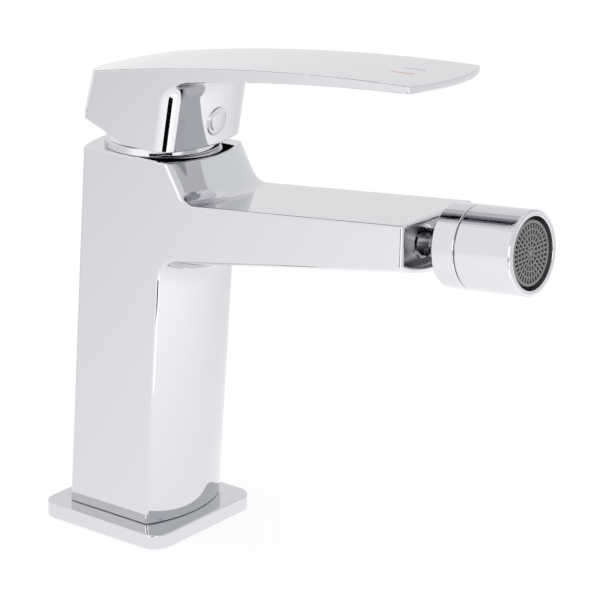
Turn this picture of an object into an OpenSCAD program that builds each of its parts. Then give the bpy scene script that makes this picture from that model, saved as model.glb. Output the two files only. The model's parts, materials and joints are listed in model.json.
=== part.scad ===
// Single-lever bidet mixer with a swivelling ball-joint aerator.
// Millimetres. X points along the spout, Z up, XZ is the mirror plane, origin under the foot plate's centre.

/* [Foot plate] */
// Side of the square foot plate
plate_side = 50; // [48:0.5:56]
// Height of the foot plate
plate_height = 4.9; // [4:0.1:6]
// Corner radius of the foot plate
plate_corner = 6; // [4:0.5:8]
// Diameter of the hole for hoses and stud
plate_hole = 31; // [30:0.5:32]

/* [Body] */
// Height of the flat top of the column
body_top = 125.3; // [123:0.5:135]
// Depth of the column between its corner edges
body_depth = 32.2; // [32:0.2:34]
// Width of the column at its back edges
body_width = 37.7; // [37.5:0.1:39]
// Forward lean of the column in degrees
body_lean = 3.2; // [2.6:0.1:3.6]
// Radius of the curved front and back faces
body_bulge = 40; // [36:1:60]
// Inward taper of each side towards the spout tip in degrees
side_taper = 0.35; // [0.2:0.05:0.6]
// Wall of the casting
wall = 3.1; // [2.8:0.1:3.4]
// Edge of the square hose passage in the column
passage = 28; // [27:0.5:28.5]

/* [Spout] */
// Distance from the foot plate's centre to the spout's end face
spout_reach = 109.7; // [106:0.1:120]
// Height of the spout's end face at its corner edges
spout_end = 13; // [12.6:0.1:14]
// How far the spout's top end lies below the column's top
spout_drop = 3.1; // [2.6:0.1:3.8]
// Rise of the spout's top in degrees
spout_rise = 6.2; // [5.6:0.1:6.6]
// Rise of the spout's underside in degrees
under_rise = 9.6; // [9.2:0.1:10]
// Radius of the spout's curved underside
under_bulge = 43; // [38:1:60]
// Radius of the water channel in the spout
channel_r = 3.6; // [3.2:0.1:3.8]

/* [Cartridge] */
// Distance of the cartridge axis from the foot plate's centre
axis_x = 5.7; // [5.4:0.1:6]
// Diameter of the cartridge
cartridge_d = 25.8; // [25.6:0.1:26]
// Wall of the cartridge nut
nut_wall = 3; // [2.8:0.1:3.2]
// Diameter of the round band under the handle
band_d = 36.2; // [35.8:0.1:36.6]
// Height of the round band
band_height = 2.5; // [2.2:0.1:2.8]
// Edge of the square stem
stem_side = 6.5; // [6:0.1:6.8]
// Diameter of the stem's pivot pin
pin_d = 2.5; // [2.2:0.1:2.8]

/* [Handle] */
// Largest lift of the lever in degrees
lift_max = 20; // [16:1:20]
// Distance from the cartridge axis to the lever's tip
lever_reach = 109; // [100:0.5:120]
// Width of the lever at its rear
lever_width = 38.2; // [38:0.1:39]
// Thickness of the lever at its tip
tip_thick = 2.1; // [2:0.1:3]
// Rise of the lever's top at its tip in degrees
tip_rise = 1.2; // [0.9:0.1:1.6]
// Bend radius of the lever's top and underside
lever_bend = 700; // [650:50:1000]
// Diameter of the index plug
plug_d = 9.2; // [8.8:0.2:10]

/* [Aerator] */
// Diameter of the aerator housing and collar
aerator_d = 25; // [24.8:0.2:26.4]
// Length from the ball's centre to the housing's front rim
aerator_length = 24.5; // [23.5:0.5:28]
// Diameter of the ball
ball_d = 14.4; // [14:0.1:14.6]
// Rise of the outlet axis in degrees
outlet_rise = 5.6; // [5.2:0.1:6]
// Largest swing of the aerator each way in degrees
swing_max = 13; // [9:1:13]

/* [Clearances] */
// Radial gap of fits that do not move
fit = 0.05; // [0.03:0.01:0.08]
// Radial gap of fits that turn or slide
run = 0.05; // [0.03:0.01:0.06]
// Gap between pieces that pass each other
pass = 0.5; // [0.4:0.05:0.6]

/* [View] */
// Piece to draw

/* [Hidden] */
$fn = 96;
big = 400;
eps = 0.01;

// Column
half_w = body_width / 2;
half_d = body_depth / 2;
lean_k = tan(body_lean);
taper_k = tan(side_taper);
foot_x = axis_x - lean_k * (body_top - plate_height);
back_x = foot_x - half_d;
bulge = body_bulge - sqrt(body_bulge * body_bulge - half_w * half_w);
bite = 0.15;

// Spout
end_top = body_top - spout_drop;
end_low = end_top - spout_end;
rise_k = tan(spout_rise);
under_k = tan(under_rise);
fillet_low = 8.5;
fillet_top = 6;
shoulder_lean = 31;
shoulder_step = 0.6;
end_half = half_w - taper_k * (spout_reach - back_x);
belly_rise = sqrt(under_bulge * under_bulge - end_half * end_half);
belly = (under_bulge - belly_rise) / cos(under_rise);
end_rim = 1.5;
end_sink = 4.6;

// Cartridge chamber and the stack in it
chamber_gap = 0.1;
chamber_r = cartridge_d / 2 + chamber_gap;
chamber_depth = 19.8;
floor_z = body_top - chamber_depth;
base_h = 4.7;
disc_h = 3;
slide_h = 2;
carrier_h = 2.8;
glide = 0.02;
rest_gap = 0.3;
base_top = floor_z + base_h;
disc_top = base_top + disc_h;
slide_z = disc_top + glide;
carrier_z = slide_z + slide_h;
rotor_z = carrier_z + carrier_h + rest_gap;
flange_h = 1.4;
lip_z = rotor_z + flange_h + glide;
shoulder_drop = 4.3;
neck_rise = 1.7;
neck_step = 1;
housing_wall = 1.9;
lip = 0.6;
shoulder_z = body_top - shoulder_drop;
housing_top = body_top + neck_rise;
rotor_top = housing_top + rest_gap;
neck_r = cartridge_d / 2 - neck_step;
inner_r = cartridge_d / 2 - housing_wall;
lip_r = inner_r - lip;
slide_r = 7.6;
port_r = 2.6;
seal_r = 4.1;
seal_h = 1.4;
seal_hole = port_r + rest_gap;
inlet_dx = -0.5;
inlet_y = 6.8;
outlet_dx = 6.5;

// Lift mechanism
pivot_drop = 1.8;
tip_lift = 1.9;
pin_short = 1;
pivot_z = body_top - pivot_drop;
tip_z = carrier_z + tip_lift;
tip_arm = pivot_z - tip_z;
tip_r = 1.5;
tip_neck = 1.1;
stroke = tip_arm * sin(lift_max);
slot_rear = 5.4;
slot_front = 4.6;
stem_gap = 0.1;

// Nut and dome cover
nut_r = neck_r + fit + nut_wall;
nut_z = shoulder_z;
nut_rise = 1.9;
nut_top = body_top + nut_rise;
nut_slot = 3;
band_r = band_d / 2;
band_top = body_top + band_height;
dome_wall = 1.2;
dome_step = 0.2;
dome_r = band_r - dome_step;
dome_hole = 14;
dome_top = pivot_z + sqrt(dome_r * dome_r - dome_hole * dome_hole);

// Handle
rim_z = band_top + pass;
cavity_r = dome_r + pass;
front_lean = 9;
rear_lean = 15;
front_r = 43;
rear_r = 24;
front_dx = 17.15;
front_dz = 11.1;
rear_dx = 14.8;
rear_dz = 11.4;
lever_taper = 0.45;
lever_k = tan(lever_taper);
lever_half = lever_width / 2;
tip_x = axis_x + lever_reach;
tip_r_plan = 39;
tip_dz = 39.4;
tip_top = pivot_z + tip_dz;
lever_wedge = 1.5;
under_tip = tip_rise + lever_wedge;
boss_r = 6.5;
boss_dz = 8;
boss_z = pivot_z + boss_dz;
screw_dz = 12.5;
screw_z = pivot_z + screw_dz;
rib_half = 4.5;
rib_z = dome_top + rest_gap;
socket_dz = 22.8;
socket_top = pivot_z + socket_dz;
stem_top = socket_top - rest_gap;
screw_r = 2.48;
screw_len = 8;
key_r = 1.25;
plug_r = plug_d / 2;
plug_depth = 3;
plug_proud = 0.4;
lever_fillet = 9;
mark_len = 8;
mark_w = 0.9;
mark_depth = 0.5;
mark_gap = 6.2;
mark_dx = 17.2;
mark_x = tip_x - mark_dx;

// Outlet and ball joint, measured along the outlet axis from the ball's centre
ball_r = ball_d / 2;
ball_dx = 8.27;
ball_dz = 8.1;
ball_x = spout_reach + ball_dx;
ball_z = end_top - ball_dz;
end_s = -(ball_dx + end_sink) / cos(outlet_rise);
nipple_neck = 4.2;
nipple_r = 5;
nipple_bore = 2.6;
nipple_len = 7;
washer_h = 1;
nipple_s = end_s - nipple_len;
washer_s = nipple_s - washer_h;
ring_t = 1;
ring_in = ball_r + run;
ring_out = ring_in + ring_t;
socket_r = ring_out + run;
ring_rear = -4.2;
ring_front = 0.8;
collar_rear = -6.2;
collar_cone = -2;
collar_front = 5.4;
swing_both = acos(cos(swing_max) * cos(swing_max));
collar_mouth = nipple_neck / cos(swing_both) - collar_rear * tan(swing_both) + pass;
collar_step = 4.8;
sleeve_wall = 2.1;
thread_wall = 2.2;
mouth_wall = 1.9;
face_step = 2.95;
aerator_r = aerator_d / 2;
collar_tail = aerator_r - collar_step;
groove = 0.4;
groove_deep = 0.7;
spigot_r = aerator_r - sleeve_wall;
spigot_s = 9;
seal_s = 3.4;
retainer_s = 5.2;
retainer_end = 8.8;
retainer_r = socket_r - fit;
retainer_hole = 4.6;
sleeve_s = collar_front + groove;
shelf_s = 10;
gasket_s = 12;
gasket_h = 1.5;
shell_s = gasket_s + gasket_h;
face_sink = 0.8;
mouth_depth = 3.5;
shelf_w = 1;
shell_wall = 1.35;
jet_gap = 1.5;
screen_gap = 1.2;
shell_front = aerator_length - face_sink;
shell_step = aerator_length - mouth_depth;
thread_r = aerator_r - thread_wall;
shelf_r = thread_r - shelf_w;
mouth_r = aerator_r - mouth_wall;
face_r = aerator_r - face_step;
face_wall = 1.6;
shell_in = thread_r - shell_wall;
jet_s = shell_s + jet_gap;
jet_h = 1.5;
screen_s = jet_s + jet_h + screen_gap;
screen_h = 0.4;

// Foot plate passage, gasket and hose sockets
gasket_dist = 5.1;
gasket_w = 2.4;
gasket_in = plate_hole / 2 + gasket_dist;
gasket_out = gasket_in + gasket_w;
gasket_deep = 1.5;
gasket_lift = 0.05;
pass_r = 4;
web = 13.5;
channel_drop = 2.6;
web_z = floor_z - web;
cavity_half = half_w - wall;
inlet_r = 6.2;
inlet_bore = 4.5;
inlet_depth = 10;
inlet_len = 14;
spigot_len = 5;
inlet_spigot = 4.6;
water_r = 3;
stud_dx = 10.7;
stud_x = axis_x - stud_dx;
stud_r = 5.2;
stud_bore = 3.4;
stud_depth = 11;
stud_len = 13;
stud_spigot = 3.6;

// Shared shapes

// Rectangle with round corners, exact
module round_rect(x, y, r) {
  square([x - 2 * r, y], center = true);
  square([x, y - 2 * r], center = true);
  for (i = [-1, 1], j = [-1, 1]) translate([i * (x / 2 - r), j * (y / 2 - r)]) circle(r);
}

// Tube along Z from z0 to z1
module tube(r_out, r_in, z0, z1) {
  translate([0, 0, z0]) difference() {
    cylinder(r = r_out, h = z1 - z0);
    translate([0, 0, -eps]) cylinder(r = r_in, h = z1 - z0 + 2 * eps);
  }
}

// Everything between two upright side planes that close in along X
module wedge(half, k, from_x, z0, z1) {
  far = big / 2;
  translate([0, 0, z0]) linear_extrude(height = z1 - z0)
    polygon([[-far, half + k * (far + from_x)], [far, half - k * (far - from_x)],
             [far, -half + k * (far - from_x)], [-far, -half - k * (far + from_x)]]);
}

// Everything behind a leaning curved front: chord at x, height z, lean in degrees, arc radius r
module behind(x, z, lean, r, half) {
  translate([x, 0, z]) rotate([0, lean, 0]) translate([-sqrt(r * r - half * half), 0, -big / 2]) {
    cylinder(r = r, h = big, $fn = 240);
    translate([-big / 2, -r, 0]) cube([big / 2, 2 * r, big]);
  }
}

// Slab across Y from a side profile in X and Z
module side_slab(points, half) {
  translate([0, half, 0]) rotate([90, 0, 0]) linear_extrude(height = 2 * half) polygon(points);
}

// Place along the cartridge axis
module on_axis() { translate([axis_x, 0, 0]) children(); }

// Place along the outlet axis, with the ball's centre at zero and Z forward
module on_outlet() {
  translate([ball_x, 0, ball_z]) rotate([0, -outlet_rise, 0]) rotate([0, 90, 0]) children();
}

// Round rod between two points of the XZ plane
module rod(x0, z0, x1, z1, r) {
  len = sqrt((x1 - x0) * (x1 - x0) + (z1 - z0) * (z1 - z0));
  translate([x0, 0, z0]) rotate([0, atan2(x1 - x0, z1 - z0), 0]) cylinder(r = r, h = len);
}

// Foot plate

module base_plate() color("Silver") difference() {
  linear_extrude(height = plate_height) round_rect(plate_side, plate_side, plate_corner);
  translate([0, 0, -eps]) cylinder(r = plate_hole / 2, h = plate_height + 2 * eps);
  translate([0, 0, -eps]) tube(gasket_out, gasket_in, 0, gasket_deep + eps);
}

module base_gasket() color("DimGray")
  tube(gasket_out - fit, gasket_in + fit, gasket_lift, gasket_deep);

// Body

// Column with curved front and back, not yet cut to height or width
module column() intersection() {
  behind(foot_x + half_d, plate_height, body_lean, body_bulge, half_w);
  mirror_back();
}

// Everything in front of the column's curved back
module mirror_back() {
  translate([2 * foot_x, 0, 0]) mirror([1, 0, 0])
    behind(foot_x + half_d, plate_height, -body_lean, body_bulge, half_w);
}

// Top of the spout at a given X
function top_at(x) = end_top - rise_k * (spout_reach - x);
// Underside of the spout at a given X
function under_at(x) = end_low - under_k * (spout_reach - x);
// Front corner edge of the column at a given height
function front_at(z) = foot_x + half_d + lean_k * (z - plate_height);

// Everything over the spout's curved underside, raised by d
module over_belly(d) translate([spout_reach, 0, end_low]) rotate([0, -under_rise, 0])
  translate([-big, 0, belly_rise]) {
    rotate([0, 90, 0]) cylinder(r = under_bulge - d, h = 2 * big, $fn = 240);
    translate([0, -under_bulge, 0]) cube([2 * big, 2 * under_bulge, big]);
  }

// Spout from one X to another, drawn in by d above and below, not yet cut to width
module spout(x0, x1, d) intersection() {
  over_belly(d);
  side_slab([[x0, plate_height], [x1, plate_height], [x1, top_at(x1) - d], [x0, top_at(x0) - d]],
            half_w + wall);
}

// Slanted curved shoulder between the column's top and the spout
module shoulder() intersection() {
  x0 = axis_x + wall;
  x1 = spout_reach / 2;
  behind(front_at(body_top) + shoulder_step, body_top, -shoulder_lean, body_bulge, half_w);
  side_slab([[x0, top_at(x0) - wall], [x1, top_at(x1) - wall], [x1, body_top + wall], [x0, body_top + wall]],
            half_w + 2 * wall);
}

// Ring-shaped fillet where a round face of radius rb meets a face that rises by k degrees
module ring_fillet(rb, k, r) {
  reach = r / tan((90 + k) / 2);
  rotate_extrude($fn = 240) difference() {
    polygon([[rb - wall, -reach], [rb, -reach], [rb + reach * cos(k), reach * sin(k)],
             [rb + reach * cos(k), reach * sin(k) + wall / 2], [rb - wall, wall / 2]]);
    translate([rb + r - bite, -reach - bite]) circle(r);
  }
}

// Front half, where the body's fillets lie
module front_half() intersection() {
  translate([axis_x + 2 * wall, -half_w - 3 * wall, 0]) cube([big / 2, 2 * half_w + 6 * wall, big / 2]);
  children();
}

// Ring-shaped fillet in an open corner at radius rb, between faces that leave it at angles a0 and a1
module corner_fillet(rb, a0, a1, r) {
  half_angle = (a1 - a0) / 2;
  middle = (a0 + a1) / 2;
  reach = r / tan(half_angle);
  away = r / sin(half_angle) - bite;
  rotate_extrude($fn = 240) difference() {
    polygon([[rb - wall, reach * sin(a0)], [rb + reach * cos(a0), reach * sin(a0)],
             [rb + reach * cos(a1), reach * sin(a1)], [rb - wall, reach * sin(a1)]]);
    translate([rb + away * cos(middle), away * sin(middle)]) circle(r);
  }
}

// Where a front face that starts at x over the foot plate meets an underside lowered by drop
function meet_x(x, drop) = (x + lean_k * (under_at(0) - drop - plate_height)) / (1 - lean_k * under_k);

// Fillet under the spout
module under_fillet() {
  edge_x = meet_x(foot_x + half_d, 0);
  crown_x = meet_x(foot_x + half_d + bulge, belly);
  crown_z = under_at(crown_x) - belly;
  dx = crown_x - edge_x;
  dz = crown_z - under_at(edge_x);
  lean = atan2(dz, dx);
  ring_r = (half_w * half_w + dx * dx + dz * dz) / (2 * sqrt(dx * dx + dz * dz));
  front_half() translate([crown_x, 0, crown_z]) rotate([0, -lean, 0]) translate([-ring_r, 0, 0])
    corner_fillet(ring_r, -90 - body_lean - lean, under_rise - lean, fillet_low);
}

// Fillet between the shoulder and the spout's top
module top_fillet() {
  x0 = front_at(body_top) + shoulder_step;
  s = sin(shoulder_lean);
  c = cos(shoulder_lean);
  drop = (body_top - end_top + bulge * s + rise_k * (spout_reach - x0 - bulge * c)) / (c + rise_k * s);
  front_half() translate([x0, 0, body_top]) rotate([0, -shoulder_lean, 0])
    translate([bulge - body_bulge, 0, -drop]) mirror([0, 0, 1])
      ring_fillet(body_bulge, shoulder_lean - spout_rise, fillet_top);
}

// Hose cavity inside the column
module hose_cavity() intersection() {
  translate([foot_x, 0, plate_height]) rotate([0, body_lean, 0]) translate([0, 0, -big / 2])
    linear_extrude(height = big) round_rect(passage, min(passage, 2 * cavity_half), pass_r);
  translate([-big / 2, -big / 2, plate_height - eps]) cube([big, big, web_z - plate_height + eps]);
}

// Hollow in the spout's end face, inside a narrow rim
module end_recess() intersection() {
  wedge(half_w - end_rim, taper_k, back_x, plate_height, body_top);
  spout(spout_reach - end_sink, ball_x, end_rim);
}

module body_casting() color("Gainsboro") difference() {
  intersection() {
    wedge(half_w, taper_k, back_x, plate_height, body_top);
    union() {
      column();
      spout(axis_x, spout_reach, 0);
      shoulder();
      under_fillet();
      top_fillet();
    }
  }
  hose_cavity();
  end_recess();
  on_axis() {
    translate([0, 0, floor_z]) cylinder(r = chamber_r, h = big);
    translate([0, 0, nut_z]) cylinder(r = nut_r + fit, h = big);
    for (j = [-1, 1]) translate([inlet_dx, j * inlet_y, web_z - eps]) {
      cylinder(r = inlet_spigot + fit, h = spigot_len + eps);
      cylinder(r = water_r, h = big / 8);
    }
    translate([outlet_dx, 0, floor_z - channel_r - wall]) cylinder(r = port_r, h = big / 8);
  }
  translate([stud_x, 0, web_z - eps]) cylinder(r = stud_spigot + fit, h = spigot_len + eps);
  rod(axis_x + outlet_dx, floor_z - channel_r - channel_drop,
      ball_x + washer_s * cos(outlet_rise), ball_z + washer_s * sin(outlet_rise), channel_r);
  on_outlet() translate([0, 0, washer_s]) cylinder(r = nipple_r + fit, h = end_s - washer_s + wall);
}

// Hose sockets and stud socket up inside the column

// Threaded socket with a spigot that sits in the casting
module socket(r, bore, depth, len, spigot, hole) difference() {
  translate([0, 0, web_z]) {
    translate([0, 0, -len]) cylinder(r = r, h = len);
    cylinder(r = spigot, h = spigot_len);
  }
  translate([0, 0, web_z - len - eps]) cylinder(r = bore, h = depth + eps);
  if (hole > 0) translate([0, 0, web_z - len]) cylinder(r = hole, h = len + 2 * spigot_len);
}

module hose_socket(side) on_axis() translate([inlet_dx, side * inlet_y, 0])
  socket(inlet_r, inlet_bore, inlet_depth, inlet_len, inlet_spigot, water_r);

module hot_inlet() color("Goldenrod") hose_socket(-1);
module cold_inlet() color("Goldenrod") hose_socket(1);
module stud_socket() color("Goldenrod") translate([stud_x, 0, 0])
  socket(stud_r, stud_bore, stud_depth, stud_len, stud_spigot, 0);

// Cartridge

// The three ports of the cartridge base, each as a cylinder
module ports(r, z0, z1) {
  for (j = [-1, 1]) translate([inlet_dx, j * inlet_y, z0]) cylinder(r = r, h = z1 - z0);
  translate([outlet_dx, 0, z0]) cylinder(r = r, h = z1 - z0);
}

module cartridge_base() color("White") on_axis() difference() {
  translate([0, 0, floor_z]) cylinder(r = cartridge_d / 2, h = base_h);
  ports(port_r, floor_z - eps, base_top + eps);
  ports(seal_r, floor_z - eps, floor_z + seal_h);
}

module port_seal(x, y) on_axis() translate([x, y, 0]) tube(seal_r - fit, seal_hole, floor_z, floor_z + seal_h);
module hot_port_seal() color("Black") port_seal(inlet_dx, -inlet_y);
module cold_port_seal() color("Black") port_seal(inlet_dx, inlet_y);
module outlet_port_seal() color("Black") port_seal(outlet_dx, 0);

module fixed_disc() color("WhiteSmoke") on_axis() difference() {
  translate([0, 0, base_top]) cylinder(r = inner_r - chamber_gap, h = disc_h);
  ports(port_r, base_top - eps, disc_top + eps);
}

module moving_disc() color("WhiteSmoke") on_axis() translate([-stroke / 2, 0, slide_z]) difference() {
  cylinder(r = slide_r, h = slide_h);
  translate([stroke / 2 + outlet_dx / 4, 0, -eps]) cylinder(r = slide_r / 2, h = slide_h / 2);
}

module disc_carrier() color("LightBlue") on_axis() difference() {
  translate([-stroke / 2, 0, carrier_z]) cylinder(r = slide_r, h = carrier_h);
  translate([0, 0, carrier_z - eps]) cylinder(r = tip_r + run, h = carrier_h + 2 * eps);
}

module cartridge_housing() color("White") on_axis() difference() {
  union() {
    translate([0, 0, base_top]) cylinder(r = cartridge_d / 2, h = shoulder_z - base_top);
    translate([0, 0, base_top]) cylinder(r = neck_r, h = housing_top - base_top);
  }
  translate([0, 0, base_top - eps]) cylinder(r = inner_r, h = lip_z - base_top + eps);
  translate([0, 0, base_top]) cylinder(r = lip_r, h = big / 4);
}

module rotor() color("LightGray") on_axis() difference() {
  union() {
    translate([0, 0, rotor_z]) cylinder(r = inner_r - run, h = flange_h);
    translate([0, 0, rotor_z]) cylinder(r = lip_r - run, h = rotor_top - rotor_z);
  }
  translate([-slot_rear, -stem_side / 2 - stem_gap, rotor_z - eps])
    cube([slot_rear + slot_front, stem_side + 2 * stem_gap, big / 8]);
  translate([0, -big / 2, pivot_z]) rotate([-90, 0, 0]) cylinder(r = pin_d / 2 + run / 2, h = big);
}

module pivot_pin() color("SlateGray") on_axis() translate([0, -lip_r + pin_short, pivot_z]) rotate([-90, 0, 0])
  cylinder(r = pin_d / 2, h = 2 * (lip_r - pin_short));

module stem() color("Goldenrod") on_axis() difference() {
  union() {
    translate([-stem_side / 2, -stem_side / 2, pivot_z - stem_side / 2])
      cube([stem_side, stem_side, stem_top - pivot_z + stem_side / 2]);
    translate([0, 0, tip_z]) cylinder(r = tip_neck, h = tip_arm);
    translate([0, 0, tip_z]) sphere(tip_r);
  }
  translate([0, -big / 2, pivot_z]) rotate([-90, 0, 0]) cylinder(r = pin_d / 2 + run, h = big);
}

module cartridge_nut() color("DarkGoldenrod") on_axis() difference() {
  tube(nut_r, neck_r + fit, nut_z, nut_top);
  for (a = [0, 90]) rotate([0, 0, a]) translate([-big / 2, -nut_slot / 2, body_top])
    cube([big, nut_slot, big]);
}

module dome_cover() color("Silver") on_axis() difference() {
  union() {
    translate([0, 0, body_top]) cylinder(r = band_r, h = band_height);
    intersection() {
      translate([0, 0, pivot_z]) sphere(dome_r);
      translate([0, 0, band_top - eps]) cylinder(r = band_r, h = band_r);
    }
  }
  translate([0, 0, body_top - eps]) cylinder(r = nut_r + fit, h = nut_top - body_top + eps);
  translate([0, 0, body_top]) intersection() {
    translate([0, 0, pivot_z - body_top]) sphere(dome_r - dome_wall);
    translate([0, 0, nut_top - body_top - eps]) cylinder(r = band_r, h = band_r);
  }
  translate([0, 0, body_top]) cylinder(r = dome_hole, h = big);
}

// Handle

// Solid under the lever's curved top, lowered by d
module under_top(d) {
  cx = tip_x + lever_bend * sin(tip_rise);
  cz = tip_top - lever_bend * cos(tip_rise) - d;
  translate([cx, -big / 2, cz]) rotate([-90, 0, 0]) cylinder(r = lever_bend, h = big, $fn = 720);
}

// Everything behind the curved front of the handle block, moved forward by d
module handle_front(d) behind(axis_x + front_dx + d, pivot_z + front_dz, front_lean, front_r, lever_half);

// Everything ahead of the curved rear of the handle
module handle_rear() translate([2 * axis_x, 0, 0]) mirror([1, 0, 0])
  behind(axis_x + rear_dx, pivot_z + rear_dz, -rear_lean, rear_r, lever_half);

// Side walls shared by the lever and the block
module handle_sides() wedge(lever_half, lever_k, axis_x - rear_dx, rim_z, tip_top + wall);

// Block over the dome: straight sides, curved front and rear
module handle_block() intersection() {
  handle_sides();
  handle_front(0);
  handle_rear();
  under_top(0);
  relief();
}

// Everything above the plane that lets the rear of the handle swing down
module relief() {
  top = big / 4;
  drop = tan(lift_max) * top;
  base = pivot_z + (rim_z - pivot_z + pass / 2) / cos(lift_max);
  side_slab([[axis_x - top, base + drop], [axis_x, base], [axis_x + (base - rim_z) / tan(lift_max), rim_z],
             [axis_x + top, rim_z], [axis_x + top, rim_z + top], [axis_x - top, rim_z + top]], big / 2);
}

// Everything behind the lever's curved tip
module behind_tip() {
  translate([tip_x - tip_r_plan, 0, rim_z]) cylinder(r = tip_r_plan, h = big / 4, $fn = 240);
  translate([tip_x - tip_r_plan - big / 2, -big / 4, rim_z]) cube([big / 2, big / 2, big / 4]);
}

// Everything below the lever's curved underside
module below_lever() {
  cx = tip_x + lever_bend * sin(under_tip);
  cz = tip_top - tip_thick - lever_bend * cos(under_tip);
  translate([cx, -big / 2, cz]) rotate([-90, 0, 0]) cylinder(r = lever_bend, h = big, $fn = 720);
}

// Lever plate between its curved top and underside
module lever_plate() difference() {
  intersection() {
    handle_sides();
    handle_rear();
    under_top(0);
    behind_tip();
  }
  below_lever();
}

// Height of the lever's underside at a given X
function under_z(x) = tip_top - tip_thick - tan(under_tip) * (tip_x - x)
                      - (tip_x - x) * (tip_x - x) / (2 * lever_bend);
// Front corner edge of the handle block at a given height
function block_at(z) = axis_x + front_dx + tan(front_lean) * (z - pivot_z - front_dz);

// Fillet between the block's front and the lever's underside
module lever_fillet_fill() {
  x0 = axis_x + front_dx;
  z0 = pivot_z + front_dz;
  crown = front_r - sqrt(front_r * front_r - lever_half * lever_half);
  guess = block_at(under_z(block_at(tip_top) + crown)) + crown;
  x1 = block_at(under_z(guess)) + crown;
  rise = (x1 - x0) * sin(front_lean) + (under_z(x1) - z0) * cos(front_lean);
  slope = atan(tan(under_tip) + (tip_x - x1) / lever_bend);
  intersection() {
    handle_sides();
    translate([axis_x, -lever_half, 0]) cube([big / 2, 2 * lever_half, tip_top]);
    under_top(0);
    translate([x0, 0, z0]) rotate([0, front_lean, 0]) translate([crown - front_r, 0, rise])
      ring_fillet(front_r, front_lean + slope, lever_fillet);
  }
}

// Solid handle before the hollows are cut
module handle_solid() union() {
  handle_block();
  lever_plate();
  lever_fillet_fill();
}

// Grooves that hold the colour marks
module mark_box(y) translate([mark_x - mark_len / 2, y - mark_w / 2, rim_z]) cube([mark_len, mark_w, big / 4]);
module mark(y) intersection() {
  mark_box(y);
  difference() {
    under_top(0);
    under_top(mark_depth);
  }
}

module lever_handle() color("Gainsboro") difference() {
  union() {
    difference() {
      handle_solid();
      translate([axis_x, 0, pivot_z]) sphere(cavity_r);
    }
    intersection() {
      handle_solid();
      union() {
        on_axis() translate([0, 0, boss_z]) cylinder(r = boss_r, h = socket_top - boss_z);
        translate([axis_x, -rib_half, rib_z]) cube([cavity_r, 2 * rib_half, socket_top - rib_z]);
      }
    }
  }
  on_axis() translate([-stem_side / 2 - fit, -stem_side / 2 - fit, pivot_z])
    cube([stem_side + 2 * fit, stem_side + 2 * fit, socket_top - pivot_z]);
  translate([axis_x, 0, screw_z]) rotate([0, 90, 0]) cylinder(r = screw_r + fit, h = big / 8);
  difference() {
    translate([axis_x, 0, screw_z]) rotate([0, 90, 0]) cylinder(r = plug_r + fit, h = big / 8);
    handle_front(-plug_depth);
  }
  mark_box_cut();
}

// Material taken out for the two marks
module mark_box_cut() for (j = [-1, 1]) difference() {
  mark_box(j * mark_gap / 2);
  under_top(mark_depth);
}

module grub_screw() color("DimGray") translate([axis_x + stem_side / 2 + fit, 0, screw_z]) rotate([0, 90, 0])
  difference() {
    cylinder(r = screw_r, h = screw_len);
    translate([0, 0, screw_len / 2]) cylinder(r = key_r, h = screw_len, $fn = 6);
  }

module index_plug() color("LightGray") intersection() {
  translate([axis_x + boss_r, 0, screw_z]) rotate([0, 90, 0]) cylinder(r = plug_r, h = big / 8);
  difference() {
    handle_front(plug_proud);
    handle_front(-plug_depth + fit);
  }
}

module hot_mark() color("Red") mark(-mark_gap / 2);
module cold_mark() color("RoyalBlue") mark(mark_gap / 2);

// Ball joint and aerator

module ball_nipple() color("Silver") on_outlet() difference() {
  union() {
    sphere(ball_r);
    translate([0, 0, end_s]) cylinder(r = nipple_neck, h = -end_s);
    translate([0, 0, nipple_s]) cylinder(r = nipple_r, h = nipple_len - pass);
    translate([0, 0, nipple_s]) cylinder(r = nipple_neck, h = nipple_len);
  }
  translate([0, 0, nipple_s - eps]) cylinder(r = nipple_bore, h = big / 8);
}

module nipple_seal() color("Black") on_outlet() tube(nipple_r, nipple_bore, washer_s, nipple_s);

module slip_ring() color("White") on_outlet() difference() {
  intersection() {
    sphere(ring_out);
    translate([0, 0, ring_rear]) cylinder(r = ring_out, h = ring_front - ring_rear);
  }
  sphere(ring_in);
}

module ball_seal() color("Black") on_outlet() difference() {
  tube(socket_r - fit, nipple_bore, seal_s, retainer_s);
  sphere(ball_r + run);
}

module seal_retainer() color("Goldenrod") on_outlet() difference() {
  tube(retainer_r, retainer_hole, retainer_s, retainer_end);
  sphere(ball_r + pass);
}

module swivel_collar() color("Silver") on_outlet() difference() {
  union() {
    translate([0, 0, collar_rear]) cylinder(r1 = collar_tail, r2 = aerator_r, h = collar_cone - collar_rear);
    translate([0, 0, collar_cone]) cylinder(r = aerator_r, h = collar_front - collar_cone);
    translate([0, 0, collar_front - eps]) cylinder(r = aerator_r - groove_deep, h = groove + eps);
    translate([0, 0, collar_front]) cylinder(r = spigot_r, h = spigot_s - collar_front);
  }
  sphere(socket_r);
  cylinder(r = socket_r, h = big / 8);
  translate([0, 0, collar_rear - eps]) cylinder(r = collar_mouth, h = -collar_rear);
}

module aerator_housing() color("Silver") on_outlet() difference() {
  translate([0, 0, sleeve_s]) cylinder(r = aerator_r, h = aerator_length - sleeve_s);
  translate([0, 0, sleeve_s - eps]) cylinder(r = spigot_r + fit, h = shelf_s - sleeve_s);
  translate([0, 0, sleeve_s]) cylinder(r = shelf_r, h = big / 8);
  translate([0, 0, gasket_s]) cylinder(r = thread_r, h = big / 8);
  translate([0, 0, shell_step]) cylinder(r = mouth_r, h = big / 8);
}

module aerator_gasket() color("Black") on_outlet()
  tube(thread_r - fit, shell_in - shelf_w, gasket_s, gasket_s + gasket_h);

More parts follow.
